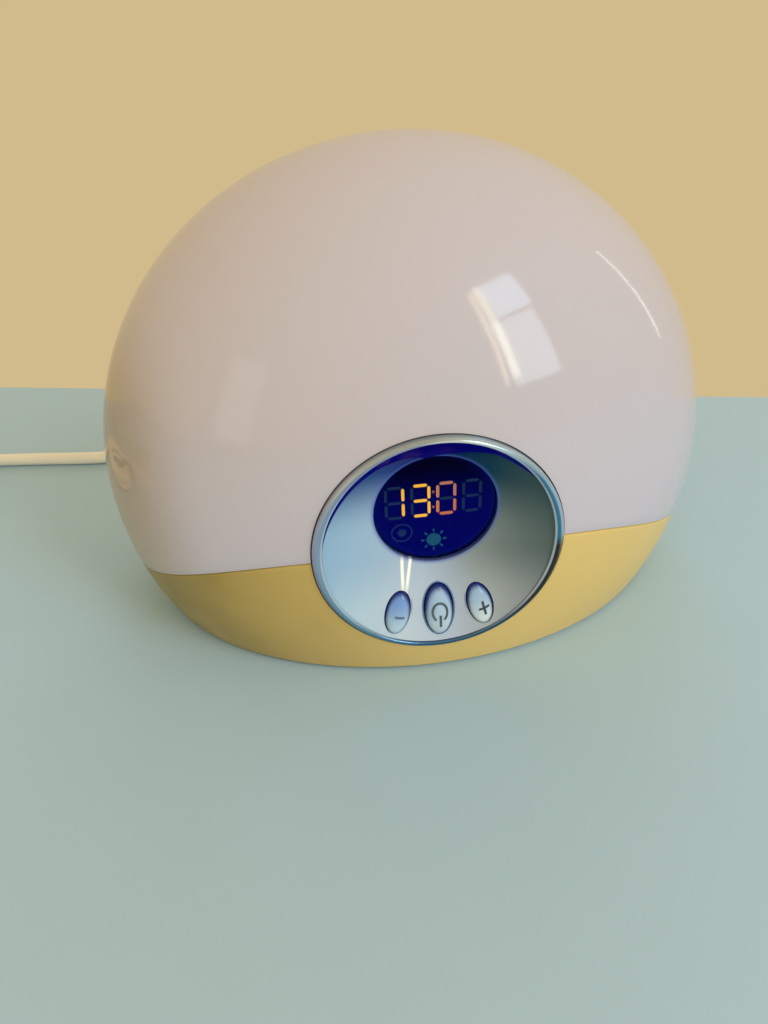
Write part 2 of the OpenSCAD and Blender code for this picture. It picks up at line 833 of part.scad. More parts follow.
module bulb_glass()
    color([0.95, 0.95, 0.92, 0.5])
        translate([0, lamp_y, 0])
            rotate_extrude()
                polygon(concat(globe_section(globe_r, neck_r),
                    let (inner = globe_section(globe_r - glass_t, neck_r - glass_t))
                        [for (i = [len(inner) - 1:-1:0]) inner[i]]));

filament_w = 16;

module bulb_filament()
    color("orange")
        translate([0, lamp_y, 0])
            union() {
                translate([0, 0, neck_low])
                    cylinder(h = 14, r = 3);
                translate([0, 0, neck_low + 13])
                    cylinder(h = globe_z - neck_low - 10, r = 1);
                for (sx = [-1, 1])
                    translate([sx * filament_w / 2 - 0.4, -0.4, globe_z - 8])
                        cube([0.8, 0.8, 8.4]);
                translate([-filament_w / 2, -0.4, globe_z - 0.4])
                    cube([filament_w, 0.8, 0.8]);
                translate([-filament_w / 2, -0.4, globe_z - 8])
                    cube([filament_w, 0.8, 0.8]);
            }

main_top = main_z + board_t;

module lamp_wires()
    color("sienna")
        for (sx = [-1, 1])
            translate([sx * 5, lamp_y, main_top])
                cylinder(h = holder_low - main_top, r = 1.1);

// ---------------------------------------------------------------- boards in the base

module main_board()
    color(board_green)
        difference() {
            translate([-main_w / 2, main_front, main_z])
                cube([main_w, main_l, board_t]);
            for (p = board_posts)
                translate([p[0], p[1], main_z - 1])
                    cylinder(h = board_t + 2, r = screw_r + screw_fit);
        }

module main_board_screws()
    color("silver")
        for (p = board_posts)
            screw_z(p[0], p[1], main_top + head_h, short_screw, -1);

// The transformer stands at the board's left, with its winding through the core
core_place = [-26, 12];
core_w = 32;
core_l = 14;
core_h = 26;
winding_w = 20;
winding_l = 27;
winding_h = 17;

module transformer_core()
    color("dimgray")
        translate([core_place[0], core_place[1], main_top])
            difference() {
                translate([-core_w / 2, -core_l / 2, 0])
                    cube([core_w, core_l, core_h]);
                translate([-winding_w / 2 - fit, -core_l, (core_h - winding_h) / 2 - fit])
                    cube([winding_w + 2 * fit, 2 * core_l, winding_h + 2 * fit]);
            }

module transformer_winding()
    color("goldenrod")
        translate([core_place[0] - winding_w / 2, core_place[1] - winding_l / 2,
                main_top + (core_h - winding_h) / 2])
            cube([winding_w, winding_l, winding_h]);

// Centre, radius and height of each capacitor
capacitor_sizes = [[14, 34, 6.3, 20], [27, 26, 5, 16], [-9, main_front + 10, 4, 11]];

module capacitors()
    color("midnightblue")
        for (c = capacitor_sizes)
            translate([c[0], c[1], main_top])
                cylinder(h = c[3], r = c[2]);

heatsink_place = [33, 6];
heatsink_w = 14;
heatsink_l = 16;
heatsink_h = 20;
fin_t = 1.6;
fins = 4;

module heatsink()
    color("gray")
        translate([heatsink_place[0], heatsink_place[1] - heatsink_l / 2, main_top])
            union() {
                cube([fin_t, heatsink_l, heatsink_h]);
                for (i = [0:fins - 1])
                    translate([0, i * (heatsink_l - fin_t) / (fins - 1), 0])
                        cube([heatsink_w / 2, fin_t, heatsink_h]);
            }

module triac()
    color("black")
        translate([heatsink_place[0] - 4.5, heatsink_place[1] - 5, main_top + 3])
            union() {
                cube([4.5, 10, 9]);
                for (i = [0:2])
                    translate([1.5, 1.4 + i * 3, -3])
                        cube([0.7, 0.9, 3.5]);
            }

fuse_place = [18, main_front + 10];
fuse_r = 2.6;
fuse_l = 20;

module fuse()
    color("lightgray")
        translate([fuse_place[0] - fuse_l / 2, fuse_place[1], main_top])
            union() {
                translate([0, 0, 1 + fuse_r])
                    rotate([0, 90, 0])
                        cylinder(h = fuse_l, r = fuse_r);
                for (x = [1, fuse_l - 5])
                    translate([x, -fuse_r - 0.6, 0])
                        cube([4, 2 * fuse_r + 1.2, fuse_r + 1]);
            }

module buzzer()
    color("black")
        translate([1, 28, main_top])
            difference() {
                cylinder(h = 7, r = 6);
                translate([0, 0, 5])
                    cylinder(h = 5, r = 1);
            }

module processor_chip()
    color("black")
        translate([-30, main_front + 4.8, main_top])
            union() {
                translate([0, 0, 0.5])
                    cube([9, 9, 1.6]);
                for (i = [0:5])
                    translate([0.6 + i * 1.4, -0.8, 0])
                        cube([0.7, 10.6, 0.6]);
            }

// Ribbon cable: from a socket on the main board up to one on the back of the front board
socket_w = 14;
socket_h = 5;
socket_t = 5;
ribbon_w = 12;
ribbon_t = 0.9;
front_socket_z = 34;
main_socket_y = main_front + 1;
ribbon_low = main_top + socket_h;
ribbon_mid_y = board_back + socket_t;

module ribbon_sockets()
    color("ivory")
        union() {
            translate([-socket_w / 2, main_socket_y, main_top])
                cube([socket_w, socket_t, socket_h]);
            translate([-socket_w / 2, board_back, front_socket_z - socket_h / 2])
                cube([socket_w, socket_t, socket_h]);
        }

// The ribbon leaves the front socket backwards, turns down and then back into the main socket
module ribbon_cable()
    color("lightgray")
        translate([-ribbon_w / 2, 0, 0])
            rotate([90, 0, 90])
                linear_extrude(ribbon_w)
                    difference() {
                        polygon([[ribbon_mid_y, front_socket_z + ribbon_t / 2],
                            [ribbon_mid_y + 4, front_socket_z + ribbon_t / 2],
                            [main_socket_y + socket_t / 2 + ribbon_t / 2, ribbon_low + 6],
                            [main_socket_y + socket_t / 2 + ribbon_t / 2, ribbon_low],
                            [main_socket_y + socket_t / 2 - ribbon_t / 2, ribbon_low],
                            [main_socket_y + socket_t / 2 - ribbon_t / 2, ribbon_low + 6 - ribbon_t / 2],
                            [ribbon_mid_y + 4 - ribbon_t / 2, front_socket_z - ribbon_t / 2],
                            [ribbon_mid_y, front_socket_z - ribbon_t / 2]]);
                    }

terminal_place = [gland_x - 0.5, main_front + main_l - 10 - head_r - 0.5];
terminal_w = 10;
terminal_l = 8;
terminal_h = 10;

module terminal_block()
    color("seagreen")
        translate([terminal_place[0], terminal_place[1] - terminal_l, main_top])
            cube([terminal_w, terminal_l, terminal_h]);

wire_r = 1.1;
// The collars lie flat just inside and outside the curved wall
gland_inner = rear_y(gland_x - 0.8 * gland_inner_r, gland_z - 0.6 * gland_inner_r, base_wall) - 2 - fit;

module mains_wires()
    color("sienna")
        for (dx = [-1.6, 1.6])
            rod_y(wire_r, terminal_place[1], gland_inner, gland_x + 3.6 + dx, gland_z);

// ---------------------------------------------------------------- rear controls

rear_proud = 1;

module rear_board()
    color(board_green)
        translate([-rear_w / 2, rear_board_y, main_top])
            cube([rear_w, board_t, rear_h]);

module rear_switches()
    color("dimgray")
        for (sx = [-1, 1])
            push_switch(sx * rear_x, rear_board_back, rear_z, 1);

module rear_button(x)
    color(cream)
        union() {
            rod_y(rear_r, rear_collar_back - 0.5, rear_y(x, rear_z) + rear_proud, x, rear_z);
            rod_y(rear_r + collar_w, rear_collar_back - collar_t, rear_collar_back, x, rear_z);
            rod_y(2, rear_stem_end, rear_collar_back, x, rear_z);
        }

module time_set_button() rear_button(-rear_x);
module alarm_set_button() rear_button(rear_x);

slide_body_l = 5;
slide_body_w = 13;
slide_body_h = 6.5;

module slide_switch_body()
    color("silver")
        translate([-slide_body_w / 2, rear_board_back, rear_z - slide_body_h / 2])
            cube([slide_body_w, slide_body_l, slide_body_h]);

// At rest the knob stands at the left end of its slot
module slide_switch_knob()
    color("dimgray")
        let (y = rear_board_back + slide_body_l + running)
            translate([-slide_travel / 2 - knob_w / 2, y, rear_z - knob_h / 2])
                cube([knob_w, rear_y(0, rear_z) + 1.2 - y, knob_h]);

// ---------------------------------------------------------------- cord

cord_r = cord_d / 2;
gland_seat = rear_y(gland_x + 0.8 * gland_r, gland_z + 0.6 * gland_r) + fit;
gland_tip = back_y + 18;
boot_ribs = 4;

// Strain relief: inner collar, neck through the wall, outer collar and a ribbed taper
module cord_gland()
    color(cord_cream)
        translate([gland_x, 0, gland_z])
            rotate([-90, 0, 0])
                rotate_extrude()
                    polygon(concat([[0, gland_inner], [gland_inner_r, gland_inner],
                            [gland_inner_r, gland_inner + 2], [gland_hole_r - fit, gland_inner + 2],
                            [gland_hole_r - fit, gland_seat], [gland_r, gland_seat],
                            [gland_r, gland_seat + 2.4]],
                        [for (i = [0:boot_ribs - 1])
                            let (y = gland_seat + 4 + i * (gland_tip - gland_seat - 6) / boot_ribs,
                                r = 5.6 - 1.5 * i / boot_ribs)
                            each [[r, y], [r, y + 2.4], [r - 0.9, y + 2.6], [r - 0.9, y + 3.6]]],
                        [[cord_r + 0.5, gland_tip], [0, gland_tip]]));

// Coil: in along the table, up one layer while the spiral turns round, and out again
coil_centre = [-214, 60];
coil_out_r = 41.4;
coil_low = cord_r + tie_t;
coil_rise = coil_pitch;
coil_start = [coil_centre[0] + 6, coil_centre[1] + coil_out_r, coil_low];

// The cord's route from the gland to the coil, straight out, down to the table and away to the left
cord_route = [[gland_x, gland_tip, gland_z], [gland_x, gland_tip + 6, gland_z],
    [gland_x - 1, 99.5, gland_z - 1.2], [-45, 109, 12.2], [-52.5, 116, 9], [-62.5, 119, 6], [-73, 117.5, 4],
    [-83, 112, 3], [-92, 104.5, cord_r], [-102, 97.5, cord_r], [-113, 93, cord_r], [-125, 91.8, cord_r],
    [-137.5, 93.2, cord_r], [-150, 95.4, cord_r], [-162.5, 97.4, cord_r], [-175, 99.2, cord_r],
    [-187, 100.6, cord_r + 0.1], [-198, 101.3, coil_low - 0.1], coil_start];
cord_sides = 8;

module power_cord()
    color(cord_cream)
        tube(cord_route, cord_r, cord_sides, [0, 1, 0], [-1, 0, 0]);

turns_climb = 0.5;
turns_out = turns_in - 0.25;
turns = turns_in + turns_climb + turns_out;
loop_rings = 24;
coil_sides = 6;
coil_in_r = coil_out_r - coil_pitch * turns_in;
coil_end_r = coil_in_r + coil_pitch * turns_out;
function coil_radius(n) = n < turns_in + turns_climb / 2 ? coil_out_r - coil_pitch * n
    : coil_in_r + coil_pitch * (n - turns_in - turns_climb);
function coil_z(n) = let (t = max(0, min(1, (n - turns_in) / turns_climb)))
    coil_low + coil_rise * t * t * (3 - 2 * t);
function coil_point(n) = let (a = 90 + 360 * n)
    [coil_centre[0] + coil_radius(n) * cos(a), coil_centre[1] + coil_radius(n) * sin(a), coil_z(n)];
coil_turn = [for (i = [0:turns * loop_rings]) coil_point(i / loop_rings)];
coil_end = [coil_centre[0] - coil_end_r, coil_centre[1] - cord_d, coil_low + coil_rise];
coil_path = concat([coil_start], coil_turn, [coil_end]);

// Least gap of the coil to itself, measured between points at least a third of a turn apart
coil_gap = min([for (i = [0:len(coil_turn) - 9]) for (j = [i + 8:len(coil_turn) - 1])
    norm(coil_turn[i] - coil_turn[j])]) - cord_d;
echo(coil_gap = coil_gap);

module cord_coil()
    color(cord_cream)
        tube(coil_path, cord_r, coil_sides, [-1, 0, 0], [0, -1, 0]);

plug_boot_y = 34;
tail_points = [coil_end, [coil_end[0], 44, coil_end[2]], [coil_end[0], plug_boot_y, coil_end[2]]];

module cord_tail()
    color(cord_cream)
        tube(tail_points, cord_r, cord_sides, [0, -1, 0], [0, -1, 0]);

// Tie: a flat band round all the turns at one place of the coil
tie_angle = 225;
tie_in = coil_in_r - cord_r - 1.8;
tie_out = coil_out_r + cord_r + 0.6;
tie_high = coil_low + coil_rise + cord_r + 0.3;
tie_corner = 3;

module tie_outline(grow)
    for (x = [tie_in + tie_corner, tie_out - tie_corner])
        hull()
            for (z = [tie_t + tie_corner, tie_high - tie_corner])
                translate([x, z])
                    circle(r = tie_corner + grow, $fn = 24);

module cord_tie()
    color("black")
        translate([coil_centre[0], coil_centre[1], 0])
            rotate([90, 0, tie_angle])
                linear_extrude(tie_w, center = true)
                    difference() {
                        hull()
                            tie_outline(tie_t);
                        hull()
                            tie_outline(0);
                    }

// ---------------------------------------------------------------- plug

plug_x = coil_end[0];
plug_front = 16;                      // edge of the plug's body that the cord enters
plug_back = plug_front - plug_l;
pin_line = plug_front - 14;
pin_w = 6.35;
pin_t = 4;
pin_l = 17.7;
earth_w = 4;
earth_t = 8;
earth_l = 22.7;
neck_w = 34;

module plug_body()
    color(cord_cream)
        union() {
            // Plate that carries the pins
            hull()
                for (x = [-1, 1])
                    for (y = [plug_back + 7, plug_front - 9])
                        translate([plug_x + x * (plug_w / 2 - 7), y, plug_t - 6])
                            cylinder(h = 6, r = 7, $fn = 32);
            // Back of the plug, narrower towards the cord
            hull() {
                for (x = [-1, 1])
                    translate([plug_x + x * (plug_w / 2 - 10), plug_back + 10, 0])
                        cylinder(h = plug_t - 3, r = 8.6, $fn = 32);
                for (x = [-1, 1])
                    translate([plug_x + x * (neck_w / 2 - 8), plug_front - 8, 0])
                        cylinder(h = plug_t - 3, r = 8, $fn = 32);
            }
            translate([plug_x, plug_front - 2, coil_end[2]])
                rotate([-90, 0, 0])
                    cylinder(h = plug_boot_y - plug_front + 2, r1 = 6, r2 = cord_r + 0.6);
        }

module plug_pins()
    color("gold")
        union() {
            for (x = [-1, 1])
                translate([plug_x + x * pin_pitch / 2 - pin_w / 2, pin_line - pin_t / 2, plug_t])
                    cube([pin_w, pin_t, pin_l]);
            translate([plug_x - earth_w / 2, pin_line - pin_pitch - earth_t / 2, plug_t])
                cube([earth_w, earth_t, earth_l]);
        }

fuse_cover_w = 9;
fuse_cover_l = 14;

module plug_fuse_cover()
    color("gray")
        translate([plug_x - fuse_cover_w / 2, pin_line - 12, plug_t])
            cube([fuse_cover_w, fuse_cover_l, 0.5]);

diffuser();
base_shell();
bottom_cover();
rubber_feet();
bottom_screws();
reflector_deck();
deck_screws();
bezel_ring();
dial_dish();
dial_housing();
dial_screws();
display_window();
display_mask();
lit_segments();
unlit_segments();
display_icons();
display_block();
front_board();
front_board_screws();
front_switches();
minus_button();
power_button();
plus_button();
heat_shield();
heat_shield_screws();
lamp_holder();
bulb_cap();
bulb_glass();
bulb_filament();
lamp_wires();
main_board();
main_board_screws();
transformer_core();
transformer_winding();
capacitors();
heatsink();
triac();
fuse();
buzzer();
processor_chip();
ribbon_cable();
ribbon_sockets();
terminal_block();
mains_wires();
rear_board();
rear_switches();
slide_switch_body();
slide_switch_knob();
time_set_button();
alarm_set_button();
cord_gland();
power_cord();
cord_coil();
cord_tail();
cord_tie();
plug_body();
plug_pins();
plug_fuse_cover();
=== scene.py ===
import json
import math

import bmesh
import bpy
from mathutils import Matrix, Vector


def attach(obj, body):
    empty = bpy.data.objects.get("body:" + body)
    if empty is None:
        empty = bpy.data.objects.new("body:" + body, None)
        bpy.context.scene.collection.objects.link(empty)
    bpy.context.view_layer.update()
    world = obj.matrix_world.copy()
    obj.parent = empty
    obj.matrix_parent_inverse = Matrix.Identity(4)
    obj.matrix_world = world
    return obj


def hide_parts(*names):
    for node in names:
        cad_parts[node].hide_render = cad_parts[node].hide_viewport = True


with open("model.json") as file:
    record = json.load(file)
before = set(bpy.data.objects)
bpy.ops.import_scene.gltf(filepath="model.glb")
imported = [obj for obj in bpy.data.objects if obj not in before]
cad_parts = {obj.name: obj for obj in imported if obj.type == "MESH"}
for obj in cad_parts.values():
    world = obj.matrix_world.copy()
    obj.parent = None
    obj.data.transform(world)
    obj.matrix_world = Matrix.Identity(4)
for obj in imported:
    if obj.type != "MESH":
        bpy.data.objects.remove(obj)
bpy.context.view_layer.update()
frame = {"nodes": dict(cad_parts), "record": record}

nodes = frame["nodes"]

# Sunrise alarm clock. Lengths are millimetres in the CAD's frame until MM or mm() makes them metres.
MM = 0.001


def mm(*xyz):
    return Vector(xyz) * MM


# The photograph's camera, as fitted to the body's outline, the seam and the dial
CAMERA_LENS = 28.24
CAMERA_SENSOR = 36.0
CAMERA_PLACE = (-33.06, -240.47, 184.37)
CAMERA_TURN = (
    (0.990472, 0.109253, -0.083836),
    (-0.130826, 0.556371, -0.820571),
    (-0.043006, 0.823720, 0.565363),
)

# The body: an ellipsoid, round from the front, cut off at the table
OUTLINE_R = 100.0
GIRDLE_Y = 3.4
GIRDLE_Z = 45.0
FRONT_DEPTH = 72.0
REAR_DEPTH = 62.0
DOME_WALL = 2.2
BASE_WALL = 2.6
FOOT_H = 1.0

# The seam between dome and base
SEAM_TOP = 50.6
SEAM_DROP = 35.2
SEAM_POWER = 2.5
SEAM_GAP = 0.3
EDGE_ROUND = 0.35

# The dial, from the crest of its ring back to the cup behind it. The ring's opening is taller than wide.
CREST_Y = -65.4
DIAL_Z = 48.2
RING_R = 35.7
RING_WALL = 1.5
RING_ROLL = 1.5
RING_LIP = 0.7
RING_OPEN_X = 32.9
RING_OPEN_Z = 34.3
CUT_R = 36.0
DISH_R = 34.0
DISH_Y = CREST_Y + 0.8
DISH_DEPTH = 5.6
DISH_WALL = 1.4
DISH_CURVE = 1.25
SLEEVE_Y = CREST_Y + 6.5
CUP_BACK = SLEEVE_Y + 13.5
WINDOW_HOLE_R = 17.6
WINDOW_Z = 57.8

# The front buttons: centre, half width, half height, and lean towards the middle in degrees
BUTTONS = {
    "minus_button": (-12.4, 25.3, 3.6, 6.7, -13.5),
    "power_button": (0.0, 24.8, 4.1, 7.9, 0.0),
    "plus_button": (12.4, 25.3, 3.6, 6.7, 13.5),
}
BUTTON_GAP = 0.35
BUTTON_RISE = 2.9
BUTTON_SHOULDER = 0.3
COLLAR_GAP = 0.4
COLLAR_W = 0.9
COLLAR_T = 1.0
STEM_R = 2.0
STEM_END = -54.7

# The bead round each button's hole, and the raised symbols on the buttons
BEAD_R = 0.3
BEAD_OUT = 0.25
BEAD_PROUD = 0.02
SYMBOL_R = 0.36
SYMBOL_TIP = 0.45

# The rear controls
REAR_Z = 24.0
REAR_X = 18.0
REAR_HOLE_R = 4.8
SLOT = (10.2, 5.2)
GLAND = (-40.0, 16.0)
GLAND_HOLE_R = 4.6

# How far along Y the cutters of the holes in the shells and the dish reach
DIAL_CUT_FRONT = CREST_Y - 10
NOTCH_BACK = -40
REAR_CUT = (40, 80)
BUTTON_CUT = (-70, -54)

# The cord
CORD_D = 5.4
CORD_ROUTE = [
    (-40, 83.4, 16), (-40, 89.4, 16), (-41, 99.5, 14.8), (-45, 109, 12.2), (-52.5, 116, 9),
    (-62.5, 119, 6), (-73, 117.5, 4), (-83, 112, 3), (-92, 104.5, 2.7), (-102, 97.5, 2.7),
    (-113, 93, 2.7), (-125, 91.8, 2.7), (-137.5, 93.2, 2.7), (-150, 95.4, 2.7), (-162.5, 97.4, 2.7),
    (-175, 99.2, 2.7), (-187, 100.6, 2.8), (-198, 101.3, 3.1), (-208, 101.4, 3.2),
]
ROUTE_PARTS = 4
COIL_CENTRE = (-214.0, 60.0)
COIL_OUT_R = 41.4
COIL_LOW = 3.2
COIL_PITCH = 5.9
COIL_POINTS = 48
TURNS_IN = 3
TURNS_CLIMB = 0.5
TURNS_OUT = 2.75
TAIL_Y = 44.0
PLUG_BOOT_Y = 34.0

# Rounding of the outer edges of CAD nodes that keep their own shape
SOFT_EDGES = {"plug_body": 0.8, "time_set_button": 0.4, "alarm_set_button": 0.4}

# How finely the round forms are drawn
SHELL_SIDES = 288
DOME_ROWS = 60
BASE_ROWS = 44
RING_SIDES = 256
RING_STEPS = 16
DISH_SIDES = 192
DISH_STEPS = 24
HOLE_SIDES = 48
BUTTON_SIDES = 64
CROWN_STEPS = 15
CROWN_END = math.radians(87)
BEAD_SIDES = 8
SYMBOL_SIDES = 10
SYMBOL_STEP = 0.3
ARC_STEPS = 36

# The table: its corners in X and Y, with the rear edge as the photograph shows it
FLOOR = ((-4000, -3000), (4000, -3000), (4000, -878), (-4000, 1154))

# The studio, in metres and watts. Each pane is its name, place, width, height, power, colour, and
# whether gloss mirrors it. The first four make the window on the dome, and the next two its side glints.
ROOM_COLOUR = (209, 187, 140)
PANE_TARGET = (0.0, 0.0, 0.07)
PANES = (
    ("upper_pane", (0.73, -0.71, 0.98), 0.31, 0.28, 1.5, (0.52, 0.76, 1.0), True),
    ("lower_pane", (0.786, -0.854, 0.60), 0.36, 0.46, 2.0, (0.72, 0.86, 1.0), True),
    ("cream_band", (0.625, -0.875, 0.75), 0.055, 0.70, 0.8, (1.0, 0.95, 0.62), True),
    ("curtain", (0.575, -0.925, 0.72), 0.035, 0.70, 0.45, (1.0, 0.78, 0.52), True),
    ("right_slit", (1.50, 0.30, 0.48), 0.022, 0.75, 0.3, (0.95, 0.97, 1.0), True),
    ("left_pane", (-1.10, -0.78, 0.42), 0.34, 0.62, 0.5, (1.0, 0.97, 0.92), True),
    ("soft_key", (0.90, -0.80, 1.00), 1.0, 1.0, 3.4, (0.80, 0.90, 1.0), False),
    ("front_fill", (-0.35, -1.30, 0.95), 1.2, 1.2, 3.4, (0.88, 0.94, 1.0), False),
    ("back_fill", (0.30, 1.40, 0.80), 1.2, 1.2, 5.5, (0.78, 0.90, 1.0), False),
)


# ---------------------------------------------------------------- camera

def make_camera():
    data = bpy.data.cameras.new("photo_camera")
    data.lens = CAMERA_LENS
    data.sensor_width = CAMERA_SENSOR
    camera = bpy.data.objects.new("photo_camera", data)
    camera.matrix_world = Matrix.Translation(mm(*CAMERA_PLACE)) @ Matrix(CAMERA_TURN).to_4x4()
    bpy.context.scene.collection.objects.link(camera)
    bpy.context.scene.camera = camera


# ---------------------------------------------------------------- shader helpers

def srgb(red, green, blue):
    """A colour as it is seen, 0 to 255, as the linear values that shaders take."""
    return tuple(c / 255 / 12.92 if c <= 10 else ((c / 255 + 0.055) / 1.055) ** 2.4
                 for c in (red, green, blue))


def new_material(name):
    """A new material, its node tree and its shader."""
    material = bpy.data.materials.new(name)
    material.use_nodes = True
    tree = material.node_tree
    return material, tree, tree.nodes["Principled BSDF"]


def node(tree, kind, **values):
    """A shader node; values set its properties, or its inputs where they have that name."""
    made = tree.nodes.new(kind)
    for key, value in values.items():
        if key in made.inputs:
            made.inputs[key].default_value = value
        else:
            setattr(made, key, value)
    return made


def plug(tree, socket, value):
    """Links value to a socket where it is another socket, and sets it otherwise."""
    if hasattr(value, "is_linked"):
        tree.links.new(value, socket)
    elif hasattr(value, "__len__") and len(value) == 3 and len(socket.default_value) == 4:
        socket.default_value = (*value, 1)
    else:
        socket.default_value = value


def math_node(tree, operation, a, b=0.0, clamp=False):
    made = node(tree, "ShaderNodeMath", operation=operation, use_clamp=clamp)
    plug(tree, made.inputs[0], a)
    plug(tree, made.inputs[1], b)
    return made.outputs[0]


def product(tree, first, *others):
    """Sockets and numbers multiplied together."""
    for other in others:
        first = math_node(tree, "MULTIPLY", first, other)
    return first


def difference(tree, a, b):
    return math_node(tree, "SUBTRACT", a, b)


def place_on_object(tree):
    """The shaded point's place on the object, in metres."""
    return node(tree, "ShaderNodeTexCoord").outputs["Object"]


def position(tree):
    """The shaded point's place on the object in millimetres: X, Y and Z."""
    larger = node(tree, "ShaderNodeVectorMath", operation="SCALE")
    larger.inputs["Scale"].default_value = 1 / MM
    split = node(tree, "ShaderNodeSeparateXYZ")
    tree.links.new(place_on_object(tree), larger.inputs[0])
    tree.links.new(larger.outputs[0], split.inputs[0])
    return split.outputs["X"], split.outputs["Y"], split.outputs["Z"]


def noise_node(tree, scale, detail=3.0):
    """Cloudy noise from 0 to 1, with about so many swells to the metre."""
    made = node(tree, "ShaderNodeTexNoise", Scale=scale, Detail=detail)
    tree.links.new(place_on_object(tree), made.inputs["Vector"])
    return made.outputs[0]


def ramp(tree, factor, *stops):
    """A colour ramp; each stop is (place, colour)."""
    made = node(tree, "ShaderNodeValToRGB")
    while len(made.color_ramp.elements) < len(stops):
        made.color_ramp.elements.new(0.5)
    for element, (place, colour) in zip(made.color_ramp.elements, stops):
        element.position = place
        element.color = (*colour, 1)
    tree.links.new(factor, made.inputs[0])
    return made.outputs[0]


def smooth_range(tree, value, low, high, to_low=0.0, to_high=1.0):
    """Turns smoothly from to_low to to_high as value goes from low to high; low may be the larger."""
    made = node(tree, "ShaderNodeMapRange", interpolation_type="SMOOTHSTEP")
    for socket, number in zip(made.inputs[1:5], (low, high, to_low, to_high)):
        socket.default_value = number
    tree.links.new(value, made.inputs["Value"])
    return made.outputs[0]


# The sockets of a mix node that are for colours; those for numbers have the same names
MIX_A = 6
MIX_B = 7
MIX_RESULT = 2


def blend(tree, factor, a, b):
    """Colour a, turning into colour b as factor goes from 0 to 1."""
    made = node(tree, "ShaderNodeMix", data_type="RGBA")
    plug(tree, made.inputs[0], factor)
    plug(tree, made.inputs[MIX_A], a)
    plug(tree, made.inputs[MIX_B], b)
    return made.outputs[MIX_RESULT]


def distance_to(tree, x, z, centre_z, scale_z=1.0):
    """Distance in the front view from (0, centre_z), with heights divided by scale_z."""
    up = math_node(tree, "DIVIDE", difference(tree, z, centre_z), scale_z)
    squares = math_node(tree, "ADD", product(tree, x, x), product(tree, up, up))
    return math_node(tree, "SQRT", squares)


def angle_round(tree, x, z):
    """Angle in the front view round the dial: 0 at the left, 0.25 down, 0.5 right, 0.75 up."""
    turn = math_node(tree, "ARCTAN2", difference(tree, z, DIAL_Z), x)
    return math_node(tree, "ADD", math_node(tree, "DIVIDE", turn, 2 * math.pi), 0.5)


def colour_with(tree, shader, colour, glow=0.0):
    """Gives the surface its colour, and shines in it with strength glow."""
    tree.links.new(colour, shader.inputs["Base Color"])
    if glow:
        tree.links.new(colour, shader.inputs["Emission Color"])
        shader.inputs["Emission Strength"].default_value = glow


def add_bump(tree, shader, height, depth, strength=1.0):
    """Relief on the surface; depth is in millimetres."""
    bump = node(tree, "ShaderNodeBump", Strength=strength, Distance=depth * MM)
    tree.links.new(height, bump.inputs["Height"])
    tree.links.new(bump.outputs[0], shader.inputs["Normal"])


def finish_surface(tree, shader, rough, spread=0.05, grain=900.0, depth=0.01):
    """Gloss that varies a little, over a grain of so many swells to the metre and so deep."""
    half = spread / 2
    gloss = smooth_range(tree, noise_node(tree, 35.0), 0.25, 0.75, rough - half, rough + half)
    tree.links.new(gloss, shader.inputs["Roughness"])
    add_bump(tree, shader, noise_node(tree, grain, 4.0), depth)


# ---------------------------------------------------------------- materials

def surface(name, colour, rough, spread=0.06, metallic=0.0, grain=900.0, depth=0.01, tint=0.06,
            alpha=1.0):
    """A moulded, cast or drawn surface: one colour that varies by tint, as a share of it."""
    material, tree, shader = new_material(name)
    linear = srgb(*colour)
    dark = [c * (1 - tint) for c in linear]
    light = [min(1.0, c * (1 + tint)) for c in linear]
    colour_with(tree, shader, ramp(tree, noise_node(tree, 40.0), (0.3, dark), (0.7, light)))
    shader.inputs["Metallic"].default_value = metallic
    shader.inputs["Alpha"].default_value = alpha
    finish_surface(tree, shader, rough, spread, grain, depth)
    return material


def dome_material():
    """Milky gloss, with painted light in its colour: warmer at the left and top, lilac at the right and
    low down, and painted shade in tan at its left edge.
    """
    material, tree, shader = new_material("dome_milky")
    x, y, z = position(tree)
    # Painted light: warmer at the left, lilac at the right and low down
    side = blend(tree, smooth_range(tree, x, -95, 30), srgb(208, 198, 206), srgb(204, 198, 211))
    low = blend(tree, smooth_range(tree, z, 95, 40), side, srgb(209, 203, 219))
    clouds = smooth_range(tree, noise_node(tree, 9.0), 0.35, 0.7, 0, 0.2)
    cloudy = blend(tree, clouds, low, srgb(210, 202, 213))
    # Painted shade: the left edge of the front turns tan
    edge = product(tree, smooth_range(tree, x, -62, -96), smooth_range(tree, z, 125, 70),
                   smooth_range(tree, y, 35, 5))
    colour_with(tree, shader, blend(tree, edge, cloudy, srgb(176, 156, 130)))
    shader.inputs["Subsurface Weight"].default_value = 0.15
    shader.inputs["Subsurface Radius"].default_value = (1.0, 0.7, 0.6)
    shader.inputs["Subsurface Scale"].default_value = 3 * MM
    finish_surface(tree, shader, 0.09, 0.03, 60.0)
    return material


def base_material():
    """Satin cream-yellow moulding, with painted shade that darkens the left of its front."""
    material, tree, shader = new_material("base_cream")
    x, y, _ = position(tree)
    # Painted shade: darkest at the left of the front, full colour to the right and towards the back
    pale = math_node(tree, "ADD", smooth_range(tree, x, -92, 12), smooth_range(tree, y, 5, 45), True)
    side = blend(tree, pale, srgb(142, 122, 42), srgb(236, 204, 127))
    clouds = smooth_range(tree, noise_node(tree, 30.0), 0.35, 0.7, 0, 0.25)
    colour_with(tree, shader, blend(tree, clouds, side, srgb(224, 194, 116)))
    finish_surface(tree, shader, 0.34, 0.06, 1400.0, 0.02)
    return material
